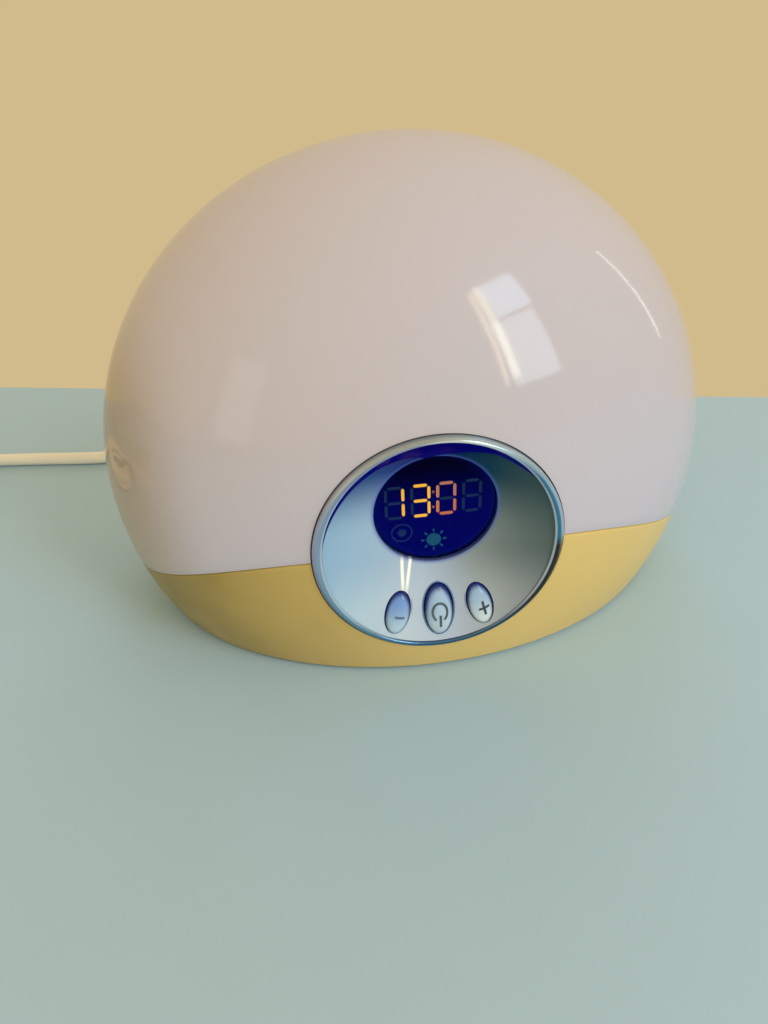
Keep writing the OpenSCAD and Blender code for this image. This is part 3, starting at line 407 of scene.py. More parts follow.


# The plating's painted reflections and highlights, in an inner and an outer band, by angle as in
# angle_round
INNER_REFLECTIONS = ((0.0, (156, 184, 214)), (0.12, (104, 158, 188)), (0.22, (28, 104, 158)),
              (0.32, (24, 86, 132)), (0.40, (50, 58, 60)), (0.488, (48, 48, 44)), (0.505, (62, 132, 170)),
              (0.60, (76, 130, 164)), (0.66, (190, 216, 236)), (0.71, (250, 252, 255)),
              (0.745, (242, 246, 252)), (0.775, (164, 176, 212)), (0.88, (150, 168, 200)),
              (1.0, (156, 184, 214)))
OUTER_REFLECTIONS = ((0.0, (166, 174, 214)), (0.10, (70, 116, 164)), (0.25, (44, 116, 160)),
              (0.35, (36, 98, 132)), (0.41, (66, 62, 56)), (0.47, (98, 80, 58)), (0.49, (134, 114, 90)),
              (0.51, (180, 204, 230)), (0.62, (170, 194, 220)), (0.70, (196, 220, 238)),
              (0.76, (172, 184, 190)), (0.86, (182, 190, 204)), (0.93, (178, 186, 218)),
              (1.0, (166, 174, 214)))


def ring_material():
    """Bright plating with painted reflections in an inner and an outer band, a painted highlight on its
    inner lip, and painted shade on its outer wall.
    """
    material, tree, shader = new_material("ring_chrome")
    x, _, z = position(tree)
    turn = angle_round(tree, x, z)
    inner, outer = (ramp(tree, turn, *((place, srgb(*colour)) for place, colour in band))
                    for band in (INNER_REFLECTIONS, OUTER_REFLECTIONS))
    # The share of the way from the opening, which is taller than wide, to the ring's outer edge
    radius = distance_to(tree, x, z, DIAL_Z)
    rise = math_node(tree, "DIVIDE", difference(tree, z, DIAL_Z), radius)
    taller = product(tree, rise, rise, RING_OPEN_Z - RING_OPEN_X)
    across = difference(tree, difference(tree, radius, RING_OPEN_X), taller)
    share = math_node(tree, "DIVIDE", across, difference(tree, RING_R - RING_OPEN_X, taller))
    colour = blend(tree, smooth_range(tree, share, 0.5, 0.7), inner, outer)
    # Painted highlight: a pale line along the inner lip, fainter low down
    lip = product(tree, smooth_range(tree, share, 0.26, 0.12), smooth_range(tree, z, 12, 38, 0.1, 0.75))
    colour = blend(tree, lip, colour, srgb(226, 236, 252))
    # Painted shade: darker on the outer wall
    wall = product(tree, smooth_range(tree, share, 0.95, 0.99), 0.35)
    colour_with(tree, shader, blend(tree, wall, colour, srgb(70, 76, 84)))
    shader.inputs["Metallic"].default_value = 0.6
    finish_surface(tree, shader, 0.14, 0.04, 500.0, 0.003)
    return material


# Width of the dish's deep blue crescent, a painted reflection of the window: angle as in angle_round, and
# millimetres
CRESCENT = ((0.589, 0.0), (0.632, 1.4), (0.672, 2.2), (0.722, 6.0), (0.765, 7.6), (0.792, 5.0),
            (0.815, 3.8), (0.839, 2.7), (0.875, 2.1), (0.917, 1.5), (0.986, 0.3))
CRESCENT_MAX = 8.0
# Two pale streaks under the window, painted reflections of it: place at height STREAK_Z, and lean
STREAKS = ((-10.3, 0.02), (-9.2, 0.16))
STREAK_Z = 32


def streaks(tree, x, z):
    """1 on the pale streaks of painted reflection and 0 elsewhere."""
    glint = 0.0
    for start, lean in STREAKS:
        middle = math_node(tree, "ADD", product(tree, difference(tree, z, STREAK_Z), lean), start)
        aside = math_node(tree, "ABSOLUTE", difference(tree, x, middle))
        line = product(tree, smooth_range(tree, aside, 0.7, 0.2), smooth_range(tree, z, 44, 41),
                       smooth_range(tree, z, 28, 36))
        glint = math_node(tree, "ADD", line, glint, True)
    return glint


def crescent(tree, x, z):
    """1 on the deep blue crescent of painted reflection inside the top of the ring, and 0 elsewhere."""
    shares = ((place, 3 * (wide / CRESCENT_MAX,)) for place, wide in CRESCENT)
    width = product(tree, ramp(tree, angle_round(tree, x, z), *shares), CRESCENT_MAX)
    reach = distance_to(tree, x, z, DIAL_Z, RING_OPEN_Z / RING_OPEN_X)
    return smooth_range(tree, math_node(tree, "ADD", reach, width), RING_OPEN_X + 0.1, RING_OPEN_X + 0.5)


def dish_material():
    """Silver lacquer with painted light in its colour: lighter at the left and painted shade at the right,
    painted reflections of the window's blues in its upper half, a painted blue glow round the window,
    painted pale streaks and a painted deep blue crescent.
    """
    material, tree, shader = new_material("dish_silver")
    x, _, z = position(tree)
    # Painted light and shade: pale sky blue at the left, darker grey at the right
    along = smooth_range(tree, x, -36, 36)
    low = ramp(tree, along, (0.0, srgb(198, 226, 248)), (0.3, srgb(216, 230, 248)),
               (0.55, srgb(202, 214, 238)), (0.8, srgb(186, 192, 196)), (1.0, srgb(150, 156, 160)))
    middle = ramp(tree, along, (0.0, srgb(168, 204, 238)), (0.4, srgb(198, 214, 240)),
                  (0.72, srgb(150, 158, 158)), (1.0, srgb(100, 116, 116)))
    # Painted reflection: the window's blues in the upper half
    high = ramp(tree, smooth_range(tree, x, -32, 34), (0.0, srgb(64, 104, 164)),
                (0.35, srgb(30, 44, 138)), (0.62, srgb(0, 44, 104)), (0.8, srgb(20, 68, 92)),
                (1.0, srgb(70, 94, 98)))
    upper = smooth_range(tree, math_node(tree, "ADD", z, product(tree, x, 0.16)), 50, 72)
    colour = blend(tree, smooth_range(tree, z, 24, 46), low, middle)
    colour = blend(tree, upper, colour, high)
    # Painted glow: blue round the window's hole
    painted_rim_glow = smooth_range(tree, distance_to(tree, x, z, WINDOW_Z), 18.8, 17.6, 0, 0.55)
    colour = blend(tree, painted_rim_glow, colour, srgb(84, 112, 210))
    # Painted reflection: two pale streaks under the window, which also glow a little
    glint = streaks(tree, x, z)
    colour = blend(tree, glint, colour, srgb(255, 253, 244))
    shader.inputs["Emission Color"].default_value = (*srgb(255, 250, 226), 1)
    tree.links.new(product(tree, glint, 0.3), shader.inputs["Emission Strength"])
    # Painted reflection: the deep blue crescent inside the top of the ring
    blue = crescent(tree, x, z)
    colour_with(tree, shader, blend(tree, blue, colour, srgb(2, 3, 134)))
    bare = smooth_range(tree, blue, 1, 0)
    tree.links.new(product(tree, smooth_range(tree, upper, 0, 1, 0.25, 0.1), bare),
                   shader.inputs["Metallic"])
    shader.inputs["IOR"].default_value = 1.25
    shader.inputs["Specular IOR Level"].default_value = 0.12
    finish_surface(tree, shader, 0.2, 0.05, 700.0, 0.004)
    return material


# The dish's slope where the buttons stand: depth at height 0, and its rise with the height
BUTTON_PLANE = (-67.6, 0.231)


def button_material():
    """Ice-blue gloss with painted light in its colour: painted shade, darker and bluer, towards its top, a
    painted highlight at the lower right, and a painted deep blue reflection on the shoulder round its
    upper part.
    """
    material, tree, shader = new_material("button_ice")
    x, y, z = position(tree)
    # Painted shade: darker and bluer in the upper part; painted highlight: palest at the lower right
    along = smooth_range(tree, x, -13, 13)
    upper = ramp(tree, along, (0.0, srgb(118, 160, 230)), (0.5, srgb(172, 204, 238)),
                 (1.0, srgb(158, 192, 228)))
    lower = ramp(tree, along, (0.0, srgb(204, 232, 252)), (0.5, srgb(192, 218, 242)),
                 (1.0, srgb(234, 246, 255)))
    colour = blend(tree, smooth_range(tree, z, 19, 30), lower, upper)
    depth, slope = BUTTON_PLANE
    height = difference(tree, difference(tree, y, depth), product(tree, z, slope))
    # Painted reflection: deep blue on the shoulder round the upper part
    shoulder = product(tree, smooth_range(tree, height, -2.2, -1.0), smooth_range(tree, z, 18, 27))
    colour_with(tree, shader, blend(tree, shoulder, colour, srgb(20, 44, 128)))
    finish_surface(tree, shader, 0.2, 0.05, 900.0, 0.006)
    return material


def ink_material():
    """The symbols on the buttons: fainter at the left, darker at the right."""
    material, tree, shader = new_material("symbol_ink")
    x, _, _ = position(tree)
    colour_with(tree, shader, ramp(tree, smooth_range(tree, x, -13, 13), (0.0, srgb(92, 118, 146)),
                                   (0.5, srgb(84, 96, 104)), (1.0, srgb(62, 70, 76))))
    finish_surface(tree, shader, 0.4)
    return material


def lens_material():
    """Deep blue lens, clear enough for the display behind it."""
    material, tree, shader = new_material("window_navy")
    _, _, z = position(tree)
    colour_with(tree, shader, blend(tree, smooth_range(tree, z, 46, 70), srgb(2, 4, 84), srgb(1, 1, 26)))
    shader.inputs["Alpha"].default_value = 0.25
    shader.inputs["Roughness"].default_value = 0.06
    shader.inputs["Specular IOR Level"].default_value = 0.05
    return material


def mask_material():
    """The display behind its window: deep blue, black towards the top, and lighter round the edge."""
    material, tree, shader = new_material("display_mask")
    x, _, z = position(tree)
    colour = blend(tree, smooth_range(tree, z, 58, 72), srgb(1, 3, 100), srgb(0, 0, 30))
    edge = smooth_range(tree, distance_to(tree, x, z, WINDOW_Z), 14.8, 17.4)
    colour_with(tree, shader, blend(tree, product(tree, edge, 0.5), colour, srgb(10, 24, 120)), 0.6)
    shader.inputs["Specular IOR Level"].default_value = 0.02
    shader.inputs["Roughness"].default_value = 0.6
    return material


def lit_material():
    """Lit segments: bright amber, fainter peach for the right-hand digit, and dark for the colon."""
    material, tree, shader = new_material("segment_amber")
    x, _, z = position(tree)
    dim = blend(tree, smooth_range(tree, z, 55, 66), srgb(196, 112, 62), srgb(180, 116, 98))
    colour = blend(tree, smooth_range(tree, x, 0.2, 0.9), srgb(255, 190, 58), dim)
    colon = product(tree, smooth_range(tree, x, -1.0, -0.8), smooth_range(tree, x, 0.2, 0.0))
    colour_with(tree, shader, blend(tree, colon, colour, srgb(150, 84, 74)), 1.2)
    finish_surface(tree, shader, 0.4)
    return material


def icon_material():
    """Faint icons: the sun in the middle is plainer than the alarm sign at its left."""
    material, tree, shader = new_material("icon_teal")
    x, _, _ = position(tree)
    colour = blend(tree, smooth_range(tree, x, -6.2, -4.6), srgb(14, 44, 100), srgb(20, 92, 118))
    colour_with(tree, shader, colour, 0.7)
    finish_surface(tree, shader, 0.5)
    return material


def ghost_material():
    """Unlit segments, just lighter than the display."""
    material, tree, shader = new_material("segment_ghost")
    ghost = srgb(16, 50, 96)
    clouds = smooth_range(tree, noise_node(tree, 300.0), 0.3, 0.7)
    colour_with(tree, shader, blend(tree, clouds, ghost, tuple(0.8 * c for c in ghost)), 0.6)
    finish_surface(tree, shader, 0.5)
    return material


def board_material():
    """Green solder mask over faint copper tracks."""
    material, tree, shader = new_material("board_green")
    tracks = node(tree, "ShaderNodeTexVoronoi", feature="DISTANCE_TO_EDGE", Scale=320.0)
    tree.links.new(place_on_object(tree), tracks.inputs["Vector"])
    line = smooth_range(tree, tracks.outputs["Distance"], 0.02, 0.06)
    colour_with(tree, shader, blend(tree, line, srgb(86, 148, 92), srgb(30, 92, 56)))
    finish_surface(tree, shader, 0.3)
    return material


def band_material():
    """Woven tape: fine ribs along and across the band."""
    material, tree, shader = new_material("tie_black")
    ribs = []
    for axis in ("X", "Y", "Z"):
        wave = node(tree, "ShaderNodeTexWave", wave_type="BANDS", bands_direction=axis, Scale=420.0)
        tree.links.new(place_on_object(tree), wave.inputs["Vector"])
        ribs.append(wave.outputs[1])
    weave = math_node(tree, "ADD", math_node(tree, "ADD", ribs[0], ribs[1]), ribs[2])
    colour_with(tree, shader, blend(tree, smooth_range(tree, weave, 0.5, 2.5), srgb(22, 22, 24),
                                    srgb(64, 64, 68)))
    shader.inputs["Roughness"].default_value = 0.85
    shader.inputs["Sheen Weight"].default_value = 0.3
    add_bump(tree, shader, weave, 0.2, 0.8)
    return material


# The record's plainer slots: colour, roughness, and what else surface() takes
PLAIN = {
    "steel": ((176, 178, 180), 0.3, {"metallic": 0.9}),
    "core_steel": ((72, 72, 76), 0.45, {"metallic": 0.4, "grain": 1500.0, "depth": 0.1}),
    "winding_tape": ((204, 168, 66), 0.4, {"grain": 300.0, "depth": 0.1}),
    "capacitor_blue": ((30, 36, 88), 0.25, {}),
    "aluminium": ((190, 192, 196), 0.35, {"metallic": 0.9, "grain": 1200.0, "depth": 0.05}),
    "white_plastic": ((236, 235, 230), 0.4, {}),
    "socket_ivory": ((228, 222, 196), 0.5, {}),
    "black_plastic": ((24, 24, 26), 0.45, {}),
    "bulb_glass": ((242, 242, 236), 0.15, {"alpha": 0.45}),
    "fuse_glass": ((214, 222, 222), 0.1, {"alpha": 0.6}),
    "wire_brown": ((92, 50, 30), 0.5, {}),
    "ribbon_grey": ((166, 166, 168), 0.5, {"grain": 400.0, "depth": 0.1}),
    "foot_rubber": ((32, 32, 32), 0.85, {"grain": 2500.0, "depth": 0.1}),
    "cord_cream": ((246, 242, 230), 0.4, {"spread": 0.1, "grain": 260.0, "depth": 0.04, "tint": 0.03}),
    "plug_cream": ((242, 238, 226), 0.3, {"grain": 1400.0, "depth": 0.03, "tint": 0.03}),
    "pin_brass": ((204, 174, 96), 0.25, {"metallic": 0.95}),
    "fuse_cover_grey": ((140, 140, 140), 0.5, {}),
}

# The slots that have a material of their own making
SPECIAL = {
    "dome_milky": dome_material,
    "base_cream": base_material,
    "ring_chrome": ring_material,
    "dish_silver": dish_material,
    "button_ice": button_material,
    "window_navy": lens_material,
    "segment_amber": lit_material,
    "segment_ghost": ghost_material,
    "icon_teal": icon_material,
    "board_green": board_material,
    "tie_black": band_material,
}


def all_looks():
    """A material for each slot of the record."""
    looks = {slot: surface(slot, colour, rough, **more) for slot, (colour, rough, more) in PLAIN.items()}
    looks.update({slot: make() for slot, make in SPECIAL.items()})
    return looks


def paint(piece, material):
    """One material all over a piece, or on a CAD node."""
    if len(piece.data.materials) == 0:
        piece.data.materials.append(material)
    for i in range(len(piece.data.materials)):
        piece.data.materials[i] = material


# ---------------------------------------------------------------- mesh helpers

def mesh_from(name, points, faces):
    """A piece from points in millimetres; its faces turn outwards by themselves."""
    mesh = bpy.data.meshes.new(name)
    mesh.from_pydata([mm(*p) for p in points], [], faces)
    work = bmesh.new()
    work.from_mesh(mesh)
    bmesh.ops.remove_doubles(work, verts=work.verts, dist=0.001 * MM)
    bmesh.ops.recalc_face_normals(work, faces=work.faces)
    work.to_mesh(mesh)
    work.free()
    piece = bpy.data.objects.new(name, mesh)
    bpy.context.scene.collection.objects.link(piece)
    return piece


def skin(rings, loop, start):
    """Points and faces over rings of equally many points, closed by a loop or by caps at both ends."""
    count = len(rings[0])
    rows = len(rings)
    points = [p for ring in rings for p in ring]
    faces = []
    for i in range(rows if loop else rows - 1):
        k = (i + 1) % rows
        for j in range(count):
            n = (j + 1) % count
            faces.append((i * count + j, i * count + n, k * count + n, k * count + j))
    if not loop:
        faces += [range(count), range((rows - 1) * count, rows * count)]
    return points, [tuple(start + c for c in face) for face in faces]


def skins(name, parts, loop=False):
    """One piece of several closed skins; each part is a list of rings."""
    points, faces = [], []
    for rings in parts:
        more, sides = skin(rings, loop, len(points))
        points += more
        faces += sides
    return mesh_from(name, points, faces)


def dress(piece, body, slot, material, *replaced):
    """Paints the piece with its material, attaches it to its body, and hides the CAD nodes that it stands
    for; slot is not used.
    """
    paint(piece, material)
    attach(piece, body)
    if replaced:
        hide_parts(*replaced)


def cut(piece, *cutters):
    """Takes the cutters out of a piece, and deletes them."""
    for cutter in cutters:
        modifier = piece.modifiers.new("cut", "BOOLEAN")
        modifier.object = cutter
        modifier.solver = "EXACT"
        modifier.operation = "DIFFERENCE"
    graph = bpy.context.evaluated_depsgraph_get()
    mesh = bpy.data.meshes.new_from_object(piece.evaluated_get(graph))
    piece.modifiers.clear()
    piece.data = mesh
    for cutter in cutters:
        bpy.data.objects.remove(cutter)


def sharpen(piece, degrees=35.0):
    """Smooth shading, with creases where faces meet at more than this angle."""
    piece.data.shade_smooth()
    piece.data.set_sharp_from_angle(angle=math.radians(degrees))


def soften(piece, width):
    """Rounds a CAD node's outer edges by so many millimetres."""
    modifier = piece.modifiers.new("soft_edges", "BEVEL")
    modifier.width = width * MM
    modifier.segments = 3
    modifier.limit_method = "ANGLE"
    modifier.angle_limit = math.radians(40)
    modifier.harden_normals = True


def circle_y(radius, y, x, z, sides, radius_z=None):
    """Points of a circle or ellipse round the Y axis."""
    return [(x + radius * math.cos(2 * math.pi * j / sides), y,
             z + (radius_z or radius) * math.sin(2 * math.pi * j / sides)) for j in range(sides)]


def rod_y(name, radius, y_range, x, z, sides):
    return skins(name, [[circle_y(radius, y, x, z, sides) for y in y_range]])


def tube_rings(path, radius, sides):
    """Rings of a round tube along a path of places in millimetres."""
    rings = []
    for i, place in enumerate(path):
        ahead = (path[min(i + 1, len(path) - 1)] - path[max(i - 1, 0)]).normalized()
        side = ahead.cross(Vector((0, 1, 0)))
        side = side.normalized() if side.length > 0.1 else Vector((1, 0, 0))
        up = side.cross(ahead)
        rings.append([place + radius * (math.cos(2 * math.pi * j / sides) * side
                                        + math.sin(2 * math.pi * j / sides) * up)
                      for j in range(sides)])
    return rings


# ---------------------------------------------------------------- cord

def smooth_path(points, parts):
    """Catmull-Rom curve through the points, with so many parts for each stretch."""
    ends = [Vector(p) for p in (points[0], *points, points[-1])]
    path = []
    for a, b, c, d in zip(ends, ends[1:], ends[2:], ends[3:]):
        for i in range(parts):
            t = i / parts
            path.append(0.5 * (2 * b + (c - a) * t + (2 * a - 5 * b + 4 * c - d) * t * t
                               + (3 * b - a - 3 * c + d) * t ** 3))
    path.append(ends[-1])
    return path


def coil_point(turn):
    """The coil spirals in, climbs a layer in half a turn, and spirals out again on top."""
    if turn < TURNS_IN + TURNS_CLIMB / 2:
        radius = COIL_OUT_R - COIL_PITCH * turn
    else:
        radius = COIL_OUT_R - COIL_PITCH * (2 * TURNS_IN + TURNS_CLIMB - turn)
    t = max(0.0, min(1.0, (turn - TURNS_IN) / TURNS_CLIMB))
    angle = math.pi / 2 + 2 * math.pi * turn
    return Vector((COIL_CENTRE[0] + radius * math.cos(angle), COIL_CENTRE[1] + radius * math.sin(angle),
                   COIL_LOW + COIL_PITCH * t * t * (3 - 2 * t)))


def make_cord(material):
    """The mains cord: its free stretch, its coil, and the tail to the plug."""
    turns = TURNS_IN + TURNS_CLIMB + TURNS_OUT
    coil = [coil_point(i / COIL_POINTS) for i in range(int(turns * COIL_POINTS) + 1)]
    end = coil[-1]
    tail = [Vector((end.x, y, end.z)) for y in (COIL_CENTRE[1] - CORD_D, TAIL_Y, PLUG_BOOT_Y)]
    path = [p * MM for p in smooth_path(CORD_ROUTE, ROUTE_PARTS) + coil + tail]
    curve = bpy.data.curves.new("mains_cord", "CURVE")
    curve.dimensions = "3D"
    curve.bevel_depth = CORD_D / 2 * MM
    curve.bevel_resolution = 4
    curve.use_fill_caps = True
    spline = curve.splines.new("POLY")
    spline.points.add(len(path) - 1)
    for point, place in zip(spline.points, path):
        point.co = (*place, 1)
    cord = bpy.data.objects.new("mains_cord", curve)
    bpy.context.scene.collection.objects.link(cord)
    dress(cord, "base", "cord_cream", material, "power_cord", "cord_coil", "cord_tail")


# ---------------------------------------------------------------- dome and base

SHELL_ANGLES = [2 * math.pi * (j + 0.5) / SHELL_SIDES for j in range(SHELL_SIDES)]
# Heights on the ellipsoid, from -1 to 1: just below its top, and the width of the bottom's edge
POLE = 0.999999
BOTTOM_EDGE = 0.004
# Where the middle of a quarter round lies, as a share of its radius
ROUND_MIDDLE = 0.3
# How often the search for the seam halves its range
HALVINGS = 30


def seam_z(x):
    return SEAM_TOP - SEAM_DROP * (abs(x) / OUTLINE_R) ** SEAM_POWER


def egg_point(angle, height, inset=0.0):
    """A point of the ellipsoid: angle round the vertical axis, height above its centre from -1 to 1."""
    depth = (REAR_DEPTH if math.sin(angle) > 0 else FRONT_DEPTH) - inset
    across = math.sqrt(max(0.0, 1 - height * height))
    return ((OUTLINE_R - inset) * across * math.cos(angle), GIRDLE_Y + depth * across * math.sin(angle),
            GIRDLE_Z + (OUTLINE_R - inset) * height)


def seam_height(angle, inset, offset):
    """The height where the ellipsoid's meridian at this angle meets the seam, moved by offset."""
    low, high = -1.0, 1.0
    for _ in range(HALVINGS):
        middle = (low + high) / 2
        x, _, z = egg_point(angle, middle, inset)
        if z < seam_z(x) + offset:
            low = middle
        else:
            high = middle
    return low


def meridian(angle, inset, start, stop, rows):
    """Points up one meridian between two heights, evenly spaced by latitude."""
    a, b = math.asin(start), math.asin(stop)
    return [egg_point(angle, math.sin(a + (b - a) * i / rows), inset) for i in range(rows + 1)]


def rim(angle, wall, up):
    """The rounded edge at the seam, from the inner skin to the outer one."""
    edge = up * SEAM_GAP / 2
    small = ROUND_MIDDLE * EDGE_ROUND
    return [egg_point(angle, seam_height(angle, inset, edge + up * lift), inset)
            for inset, lift in ((wall, 0), (EDGE_ROUND, 0), (small, small))]


def make_dome(material):
    """Milky shell from the seam up, with its notch for the dial."""
    columns = []
    for angle in SHELL_ANGLES:
        inner = meridian(angle, DOME_WALL, POLE, seam_height(angle, DOME_WALL, SEAM_GAP), DOME_ROWS)
        outer = meridian(angle, 0, seam_height(angle, 0, SEAM_GAP / 2 + EDGE_ROUND), POLE, DOME_ROWS)
        columns.append(inner + rim(angle, DOME_WALL, 1) + outer)
    dome = skins("milky_dome", [list(zip(*columns))])
    cut(dome, rod_y("dial_notch", CUT_R, (DIAL_CUT_FRONT, NOTCH_BACK), 0, DIAL_Z, DISH_SIDES))
    sharpen(dome)
    dress(dome, "dome", "dome_milky", material, "diffuser")


def make_base(material):
    """Cream shell up to the seam, with its holes for the dial, the rear controls and the cord."""
    low = (FOOT_H - GIRDLE_Z) / OUTLINE_R
    low_in = (FOOT_H - GIRDLE_Z) / (OUTLINE_R - BASE_WALL)
    columns = []
    for angle in SHELL_ANGLES:
        top = seam_height(angle, 0, -SEAM_GAP / 2 - EDGE_ROUND)
        outer = meridian(angle, 0, low + BOTTOM_EDGE, top, BASE_ROWS)
        inner = meridian(angle, BASE_WALL, seam_height(angle, BASE_WALL, -SEAM_GAP), low_in, BASE_ROWS)
        edge = rim(angle, BASE_WALL, -1)[::-1]
        columns.append([egg_point(angle, low, EDGE_ROUND)] + outer + edge + inner)
    base = skins("cream_base", [list(zip(*columns))], loop=True)
    corners = [(sx * SLOT[0] / 2, REAR_Z + sz * SLOT[1] / 2)
               for sx, sz in ((-1, -1), (1, -1), (1, 1), (-1, 1))]
    slot = skins("slot_hole", [[[(x, y, z) for x, z in corners] for y in REAR_CUT]])
    cut(base, rod_y("dial_hole", CUT_R, (DIAL_CUT_FRONT, CUP_BACK), 0, DIAL_Z, DISH_SIDES), slot,
        rod_y("left_hole", REAR_HOLE_R, REAR_CUT, -REAR_X, REAR_Z, HOLE_SIDES),
        rod_y("right_hole", REAR_HOLE_R, REAR_CUT, REAR_X, REAR_Z, HOLE_SIDES),
        rod_y("gland_hole", GLAND_HOLE_R, REAR_CUT, *GLAND, HOLE_SIDES))
    sharpen(base)
    dress(base, "base", "base_cream", material, "base_shell")


# ---------------------------------------------------------------- dial

def make_ring(material):
    """Plated ring with a rounded crest and a thin inner lip; its opening is taller than wide."""
    rings = []
    for i in range(RING_STEPS + 1):
        t = math.pi * i / RING_STEPS
        out = (1 + math.cos(t)) / 2
        deep = RING_ROLL if i < RING_STEPS / 2 else RING_LIP
        half = RING_R * out + RING_OPEN_X * (1 - out)
        high = RING_R * out + RING_OPEN_Z * (1 - out)
        rings.append(circle_y(half, CREST_Y + deep * (1 - math.sin(t)), 0, DIAL_Z, RING_SIDES, high))
    inner = RING_R - RING_WALL
    for radius, y in ((inner, CREST_Y + RING_LIP), (inner, SLEEVE_Y), (RING_R, SLEEVE_Y)):
        rings.append(circle_y(radius, y, 0, DIAL_Z, RING_SIDES))
    ring = skins("dial_ring", [rings], loop=True)
    sharpen(ring, 50)
    dress(ring, "base", "ring_chrome", material, "bezel_ring")


def dish_y(t):
    """Depth of the dish's front face, with t from 0 at the ring to 1 at the window."""
    return DISH_Y + DISH_DEPTH * (1 - (1 - t) ** DISH_CURVE)


def dish_face(z):
    """Depth of the dish's front face below the window, on the middle line."""
    low, high = DIAL_Z - DISH_R, WINDOW_Z - WINDOW_HOLE_R
    return dish_y(max(0.0, min(1.0, (z - low) / (high - low))))


def dish_ring(t, wall):
    """One ring of the dish's front face, or of its back where wall is its thickness."""
    radius = (DISH_R - wall) * (1 - t) + WINDOW_HOLE_R * t
    return circle_y(radius, dish_y(t) + wall, 0, DIAL_Z * (1 - t) + WINDOW_Z * t, DISH_SIDES)


def make_dish(material):
    """Shallow cone from the ring to the window, with an oval hole for each button."""
    rings = [dish_ring(i / DISH_STEPS, 0) for i in range(DISH_STEPS + 1)]
    rings += [dish_ring(i / DISH_STEPS, DISH_WALL) for i in range(DISH_STEPS, -1, -1)]
    rings += [circle_y(radius, SLEEVE_Y, 0, DIAL_Z, DISH_SIDES) for radius in (DISH_R - DISH_WALL, DISH_R)]
    dish = skins("dial_cone", [rings], loop=True)
    cut(dish, *(skins("button_hole", [[button_oval(place, BUTTON_GAP, y) for y in BUTTON_CUT]])
                for place in BUTTONS.values()))
    sharpen(dish, 30)
    dress(dish, "base", "dish_silver", material, "dial_dish")


def body_of(button):
    """The body that a button moves with: its name without the last word."""
    return button.removesuffix("_button")


def button_slope(place):
    """How much deeper the dish's face lies for each millimetre of height behind a button."""
    _, z, _, high, _ = place
    return (dish_face(z + high) - dish_face(z - high)) / (2 * high)


def turned(lean, u, v):
    """A place in the axes of a button that leans by so many degrees, as shifts along X and Z."""
    lean = math.radians(lean)
    return u * math.cos(lean) - v * math.sin(lean), u * math.sin(lean) + v * math.cos(lean)


def button_oval(place, grow, y, shrink=1.0, slope=0.0):
    """The button's outline at depth y, shrunk, then grown, and tilted with the slope."""
    x, z, half, high, lean = place
    points = []
    for j in range(BUTTON_SIDES):
        a = 2 * math.pi * j / BUTTON_SIDES
        dx, dz = turned(lean, (half * shrink + grow) * math.cos(a), (high * shrink + grow) * math.sin(a))
        points.append((x + dx, y + slope * dz, z + dz))
    return points


def make_beads(material):
    """A thin bright bead round each button's hole."""
    parts = []
    for place in BUTTONS.values():
        y = dish_face(place[1]) - BEAD_PROUD
        oval = button_oval(place, BUTTON_GAP + BEAD_OUT, y, 1.0, button_slope(place))
        path = [Vector(p) for p in oval]
        parts.append(tube_rings(path[-1:] + path + path[:1], BEAD_R, BEAD_SIDES)[1:-1])
    beads = skins("button_lips", parts, loop=True)
    sharpen(beads, 60)
    dress(beads, "base", "ring_chrome", material)


def crown_y(place, rise):
    """Depth of a button's crown on its middle line, with rise from 0 at its shoulder to 1 at its top."""
    return dish_face(place[1]) - BUTTON_SHOULDER - (BUTTON_RISE - BUTTON_SHOULDER) * rise


# All three collars lie just behind the dish where a button passes it deepest: at the power button's top
POWER_TOP = BUTTONS["power_button"][1] + BUTTONS["power_button"][3]
COLLAR_Y = dish_face(POWER_TOP + BUTTON_GAP) + DISH_WALL + COLLAR_GAP


def make_button(name, material):
    """Domed oval, with the collar behind the dish and the stem to its switch."""
    place = BUTTONS[name]
    x, z, _, _, _ = place
    slope = button_slope(place)
    rings = []
    for i in range(CROWN_STEPS, -1, -1):
        t = CROWN_END * i / CROWN_STEPS
        rings.append(button_oval(place, 0, crown_y(place, math.sin(t)), math.cos(t), slope))
    rings.append(button_oval(place, 0, COLLAR_Y))
    rings += [button_oval(place, COLLAR_W, y) for y in (COLLAR_Y, COLLAR_Y + COLLAR_T)]
    rings += [circle_y(STEM_R, y, x, z, BUTTON_SIDES) for y in (COLLAR_Y + COLLAR_T, STEM_END)]
    button = skins(name.replace("button", "key"), [rings])
    sharpen(button, 40)
    dress(button, body_of(name), "button_ice", material, name)


def arc(half, high, start, stop, centre_v):
    """Points of an elliptical arc between two angles in degrees."""
    return [(half * math.cos(math.radians(a)), centre_v + high * math.sin(math.radians(a)))
            for a in (start + (stop - start) * i / ARC_STEPS for i in range(ARC_STEPS + 1))]


# Raised symbols in each button's own axes: lists of (u, v) strokes
SYMBOLS = {
    "minus_button": [[(-1.0, -0.2), (1.7, -0.2)]],
    "power_button": [arc(2.15, 2.9, -55, 235, 0.3), [(0.1, -0.6), (0.1, -4.4)]],
    "plus_button": [[(-0.8, -0.5), (2.3, -0.5)], [(0.75, -2.7), (0.75, 1.7)]],
}


def button_surface(place, u, v):
    """The place on a button's crown above its own (u, v), measured along its axes."""
    x, z, half, high, lean = place
    dx, dz = turned(lean, u, v)
    rise = math.sqrt(max(0.0, 1 - (u / half) ** 2 - (v / high) ** 2))
    return Vector((x + dx, crown_y(place, rise) + button_slope(place) * dz, z + dz))


def refined(stroke):
    """The stroke's points and others between them, at most about a step apart."""
    dense = []
    for (u0, v0), (u1, v1) in zip(stroke, stroke[1:]):
        steps = max(2, int(math.hypot(u1 - u0, v1 - v0) / SYMBOL_STEP))
        dense += [(u0 + (u1 - u0) * i / steps, v0 + (v1 - v0) * i / steps) for i in range(steps)]
    return dense + [stroke[-1]]


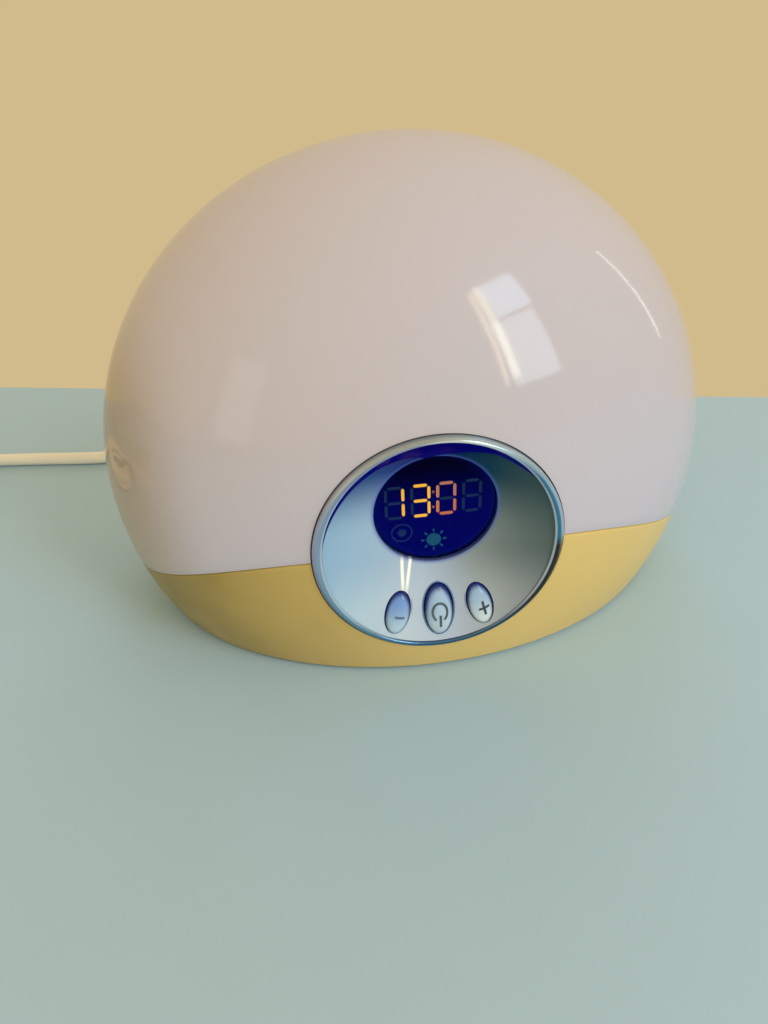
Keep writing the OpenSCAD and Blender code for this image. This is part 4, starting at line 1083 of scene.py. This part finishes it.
def make_symbol(name, material):
    """The raised strokes of a button's symbol, with narrowed tips."""
    parts = []
    for stroke in SYMBOLS[name]:
        path = [button_surface(BUTTONS[name], u, v) for u, v in refined(stroke)]
        rings = tube_rings(path, SYMBOL_R, SYMBOL_SIDES)
        first, last = ([path[k] + (p - path[k]) * SYMBOL_TIP for p in rings[k]] for k in (0, -1))
        parts.append([first] + rings + [last])
    symbol = skins(name.replace("button", "mark"), parts)
    sharpen(symbol, 60)
    dress(symbol, body_of(name), "button_ice", material)


# ---------------------------------------------------------------- CAD nodes

def paint_nodes(looks):
    """Every CAD node gets the material of its slot, and the display's mask one of its own."""
    slots = {part["node"]: part["material_slot"] for part in frame["record"]["subparts"]}
    for name, piece in nodes.items():
        paint(piece, looks[slots[name]])
    paint(nodes["display_mask"], mask_material())
    for name, width in SOFT_EDGES.items():
        soften(nodes[name], width)


# ---------------------------------------------------------------- studio

def make_floor():
    """A pale table that ends behind the clock, where the pale surroundings take over."""
    floor = mesh_from("floor", [(x, y, 0) for x, y in FLOOR], [(0, 1, 2, 3)])
    paint(floor, surface("floor_pale", (176, 206, 228), 0.6, spread=0.02, tint=0.006))


def make_pane(name, place, width, height, watts, colour, reflected):
    """A soft light that faces the clock."""
    light = bpy.data.lights.new(name, "AREA")
    light.shape = "RECTANGLE"
    light.size = width
    light.size_y = height
    light.energy = watts
    light.color = colour
    lamp = bpy.data.objects.new(name, light)
    lamp.location = place
    lamp.rotation_euler = (Vector(PANE_TARGET) - Vector(place)).to_track_quat("-Z", "Y").to_euler()
    lamp.visible_glossy = reflected
    bpy.context.scene.collection.objects.link(lamp)


def make_studio():
    scene = bpy.context.scene
    scene.view_settings.view_transform = "Standard"
    world = bpy.data.worlds.new("pale_room")
    world.use_nodes = True
    background = world.node_tree.nodes["Background"]
    background.inputs["Color"].default_value = (*srgb(*ROOM_COLOUR), 1)
    background.inputs["Strength"].default_value = 1.0
    scene.world = world
    for pane in PANES:
        make_pane(*pane)


# ---------------------------------------------------------------- all together

make_camera()
looks = all_looks()
make_cord(looks["cord_cream"])
paint_nodes(looks)
make_dome(looks["dome_milky"])
make_base(looks["base_cream"])
make_ring(looks["ring_chrome"])
make_dish(looks["dish_silver"])
make_beads(surface("lip_blue", (120, 150, 190), 0.15, metallic=0.6))
ink = ink_material()
for button in BUTTONS:
    make_button(button, looks["button_ice"])
    make_symbol(button, ink)
make_floor()
make_studio()
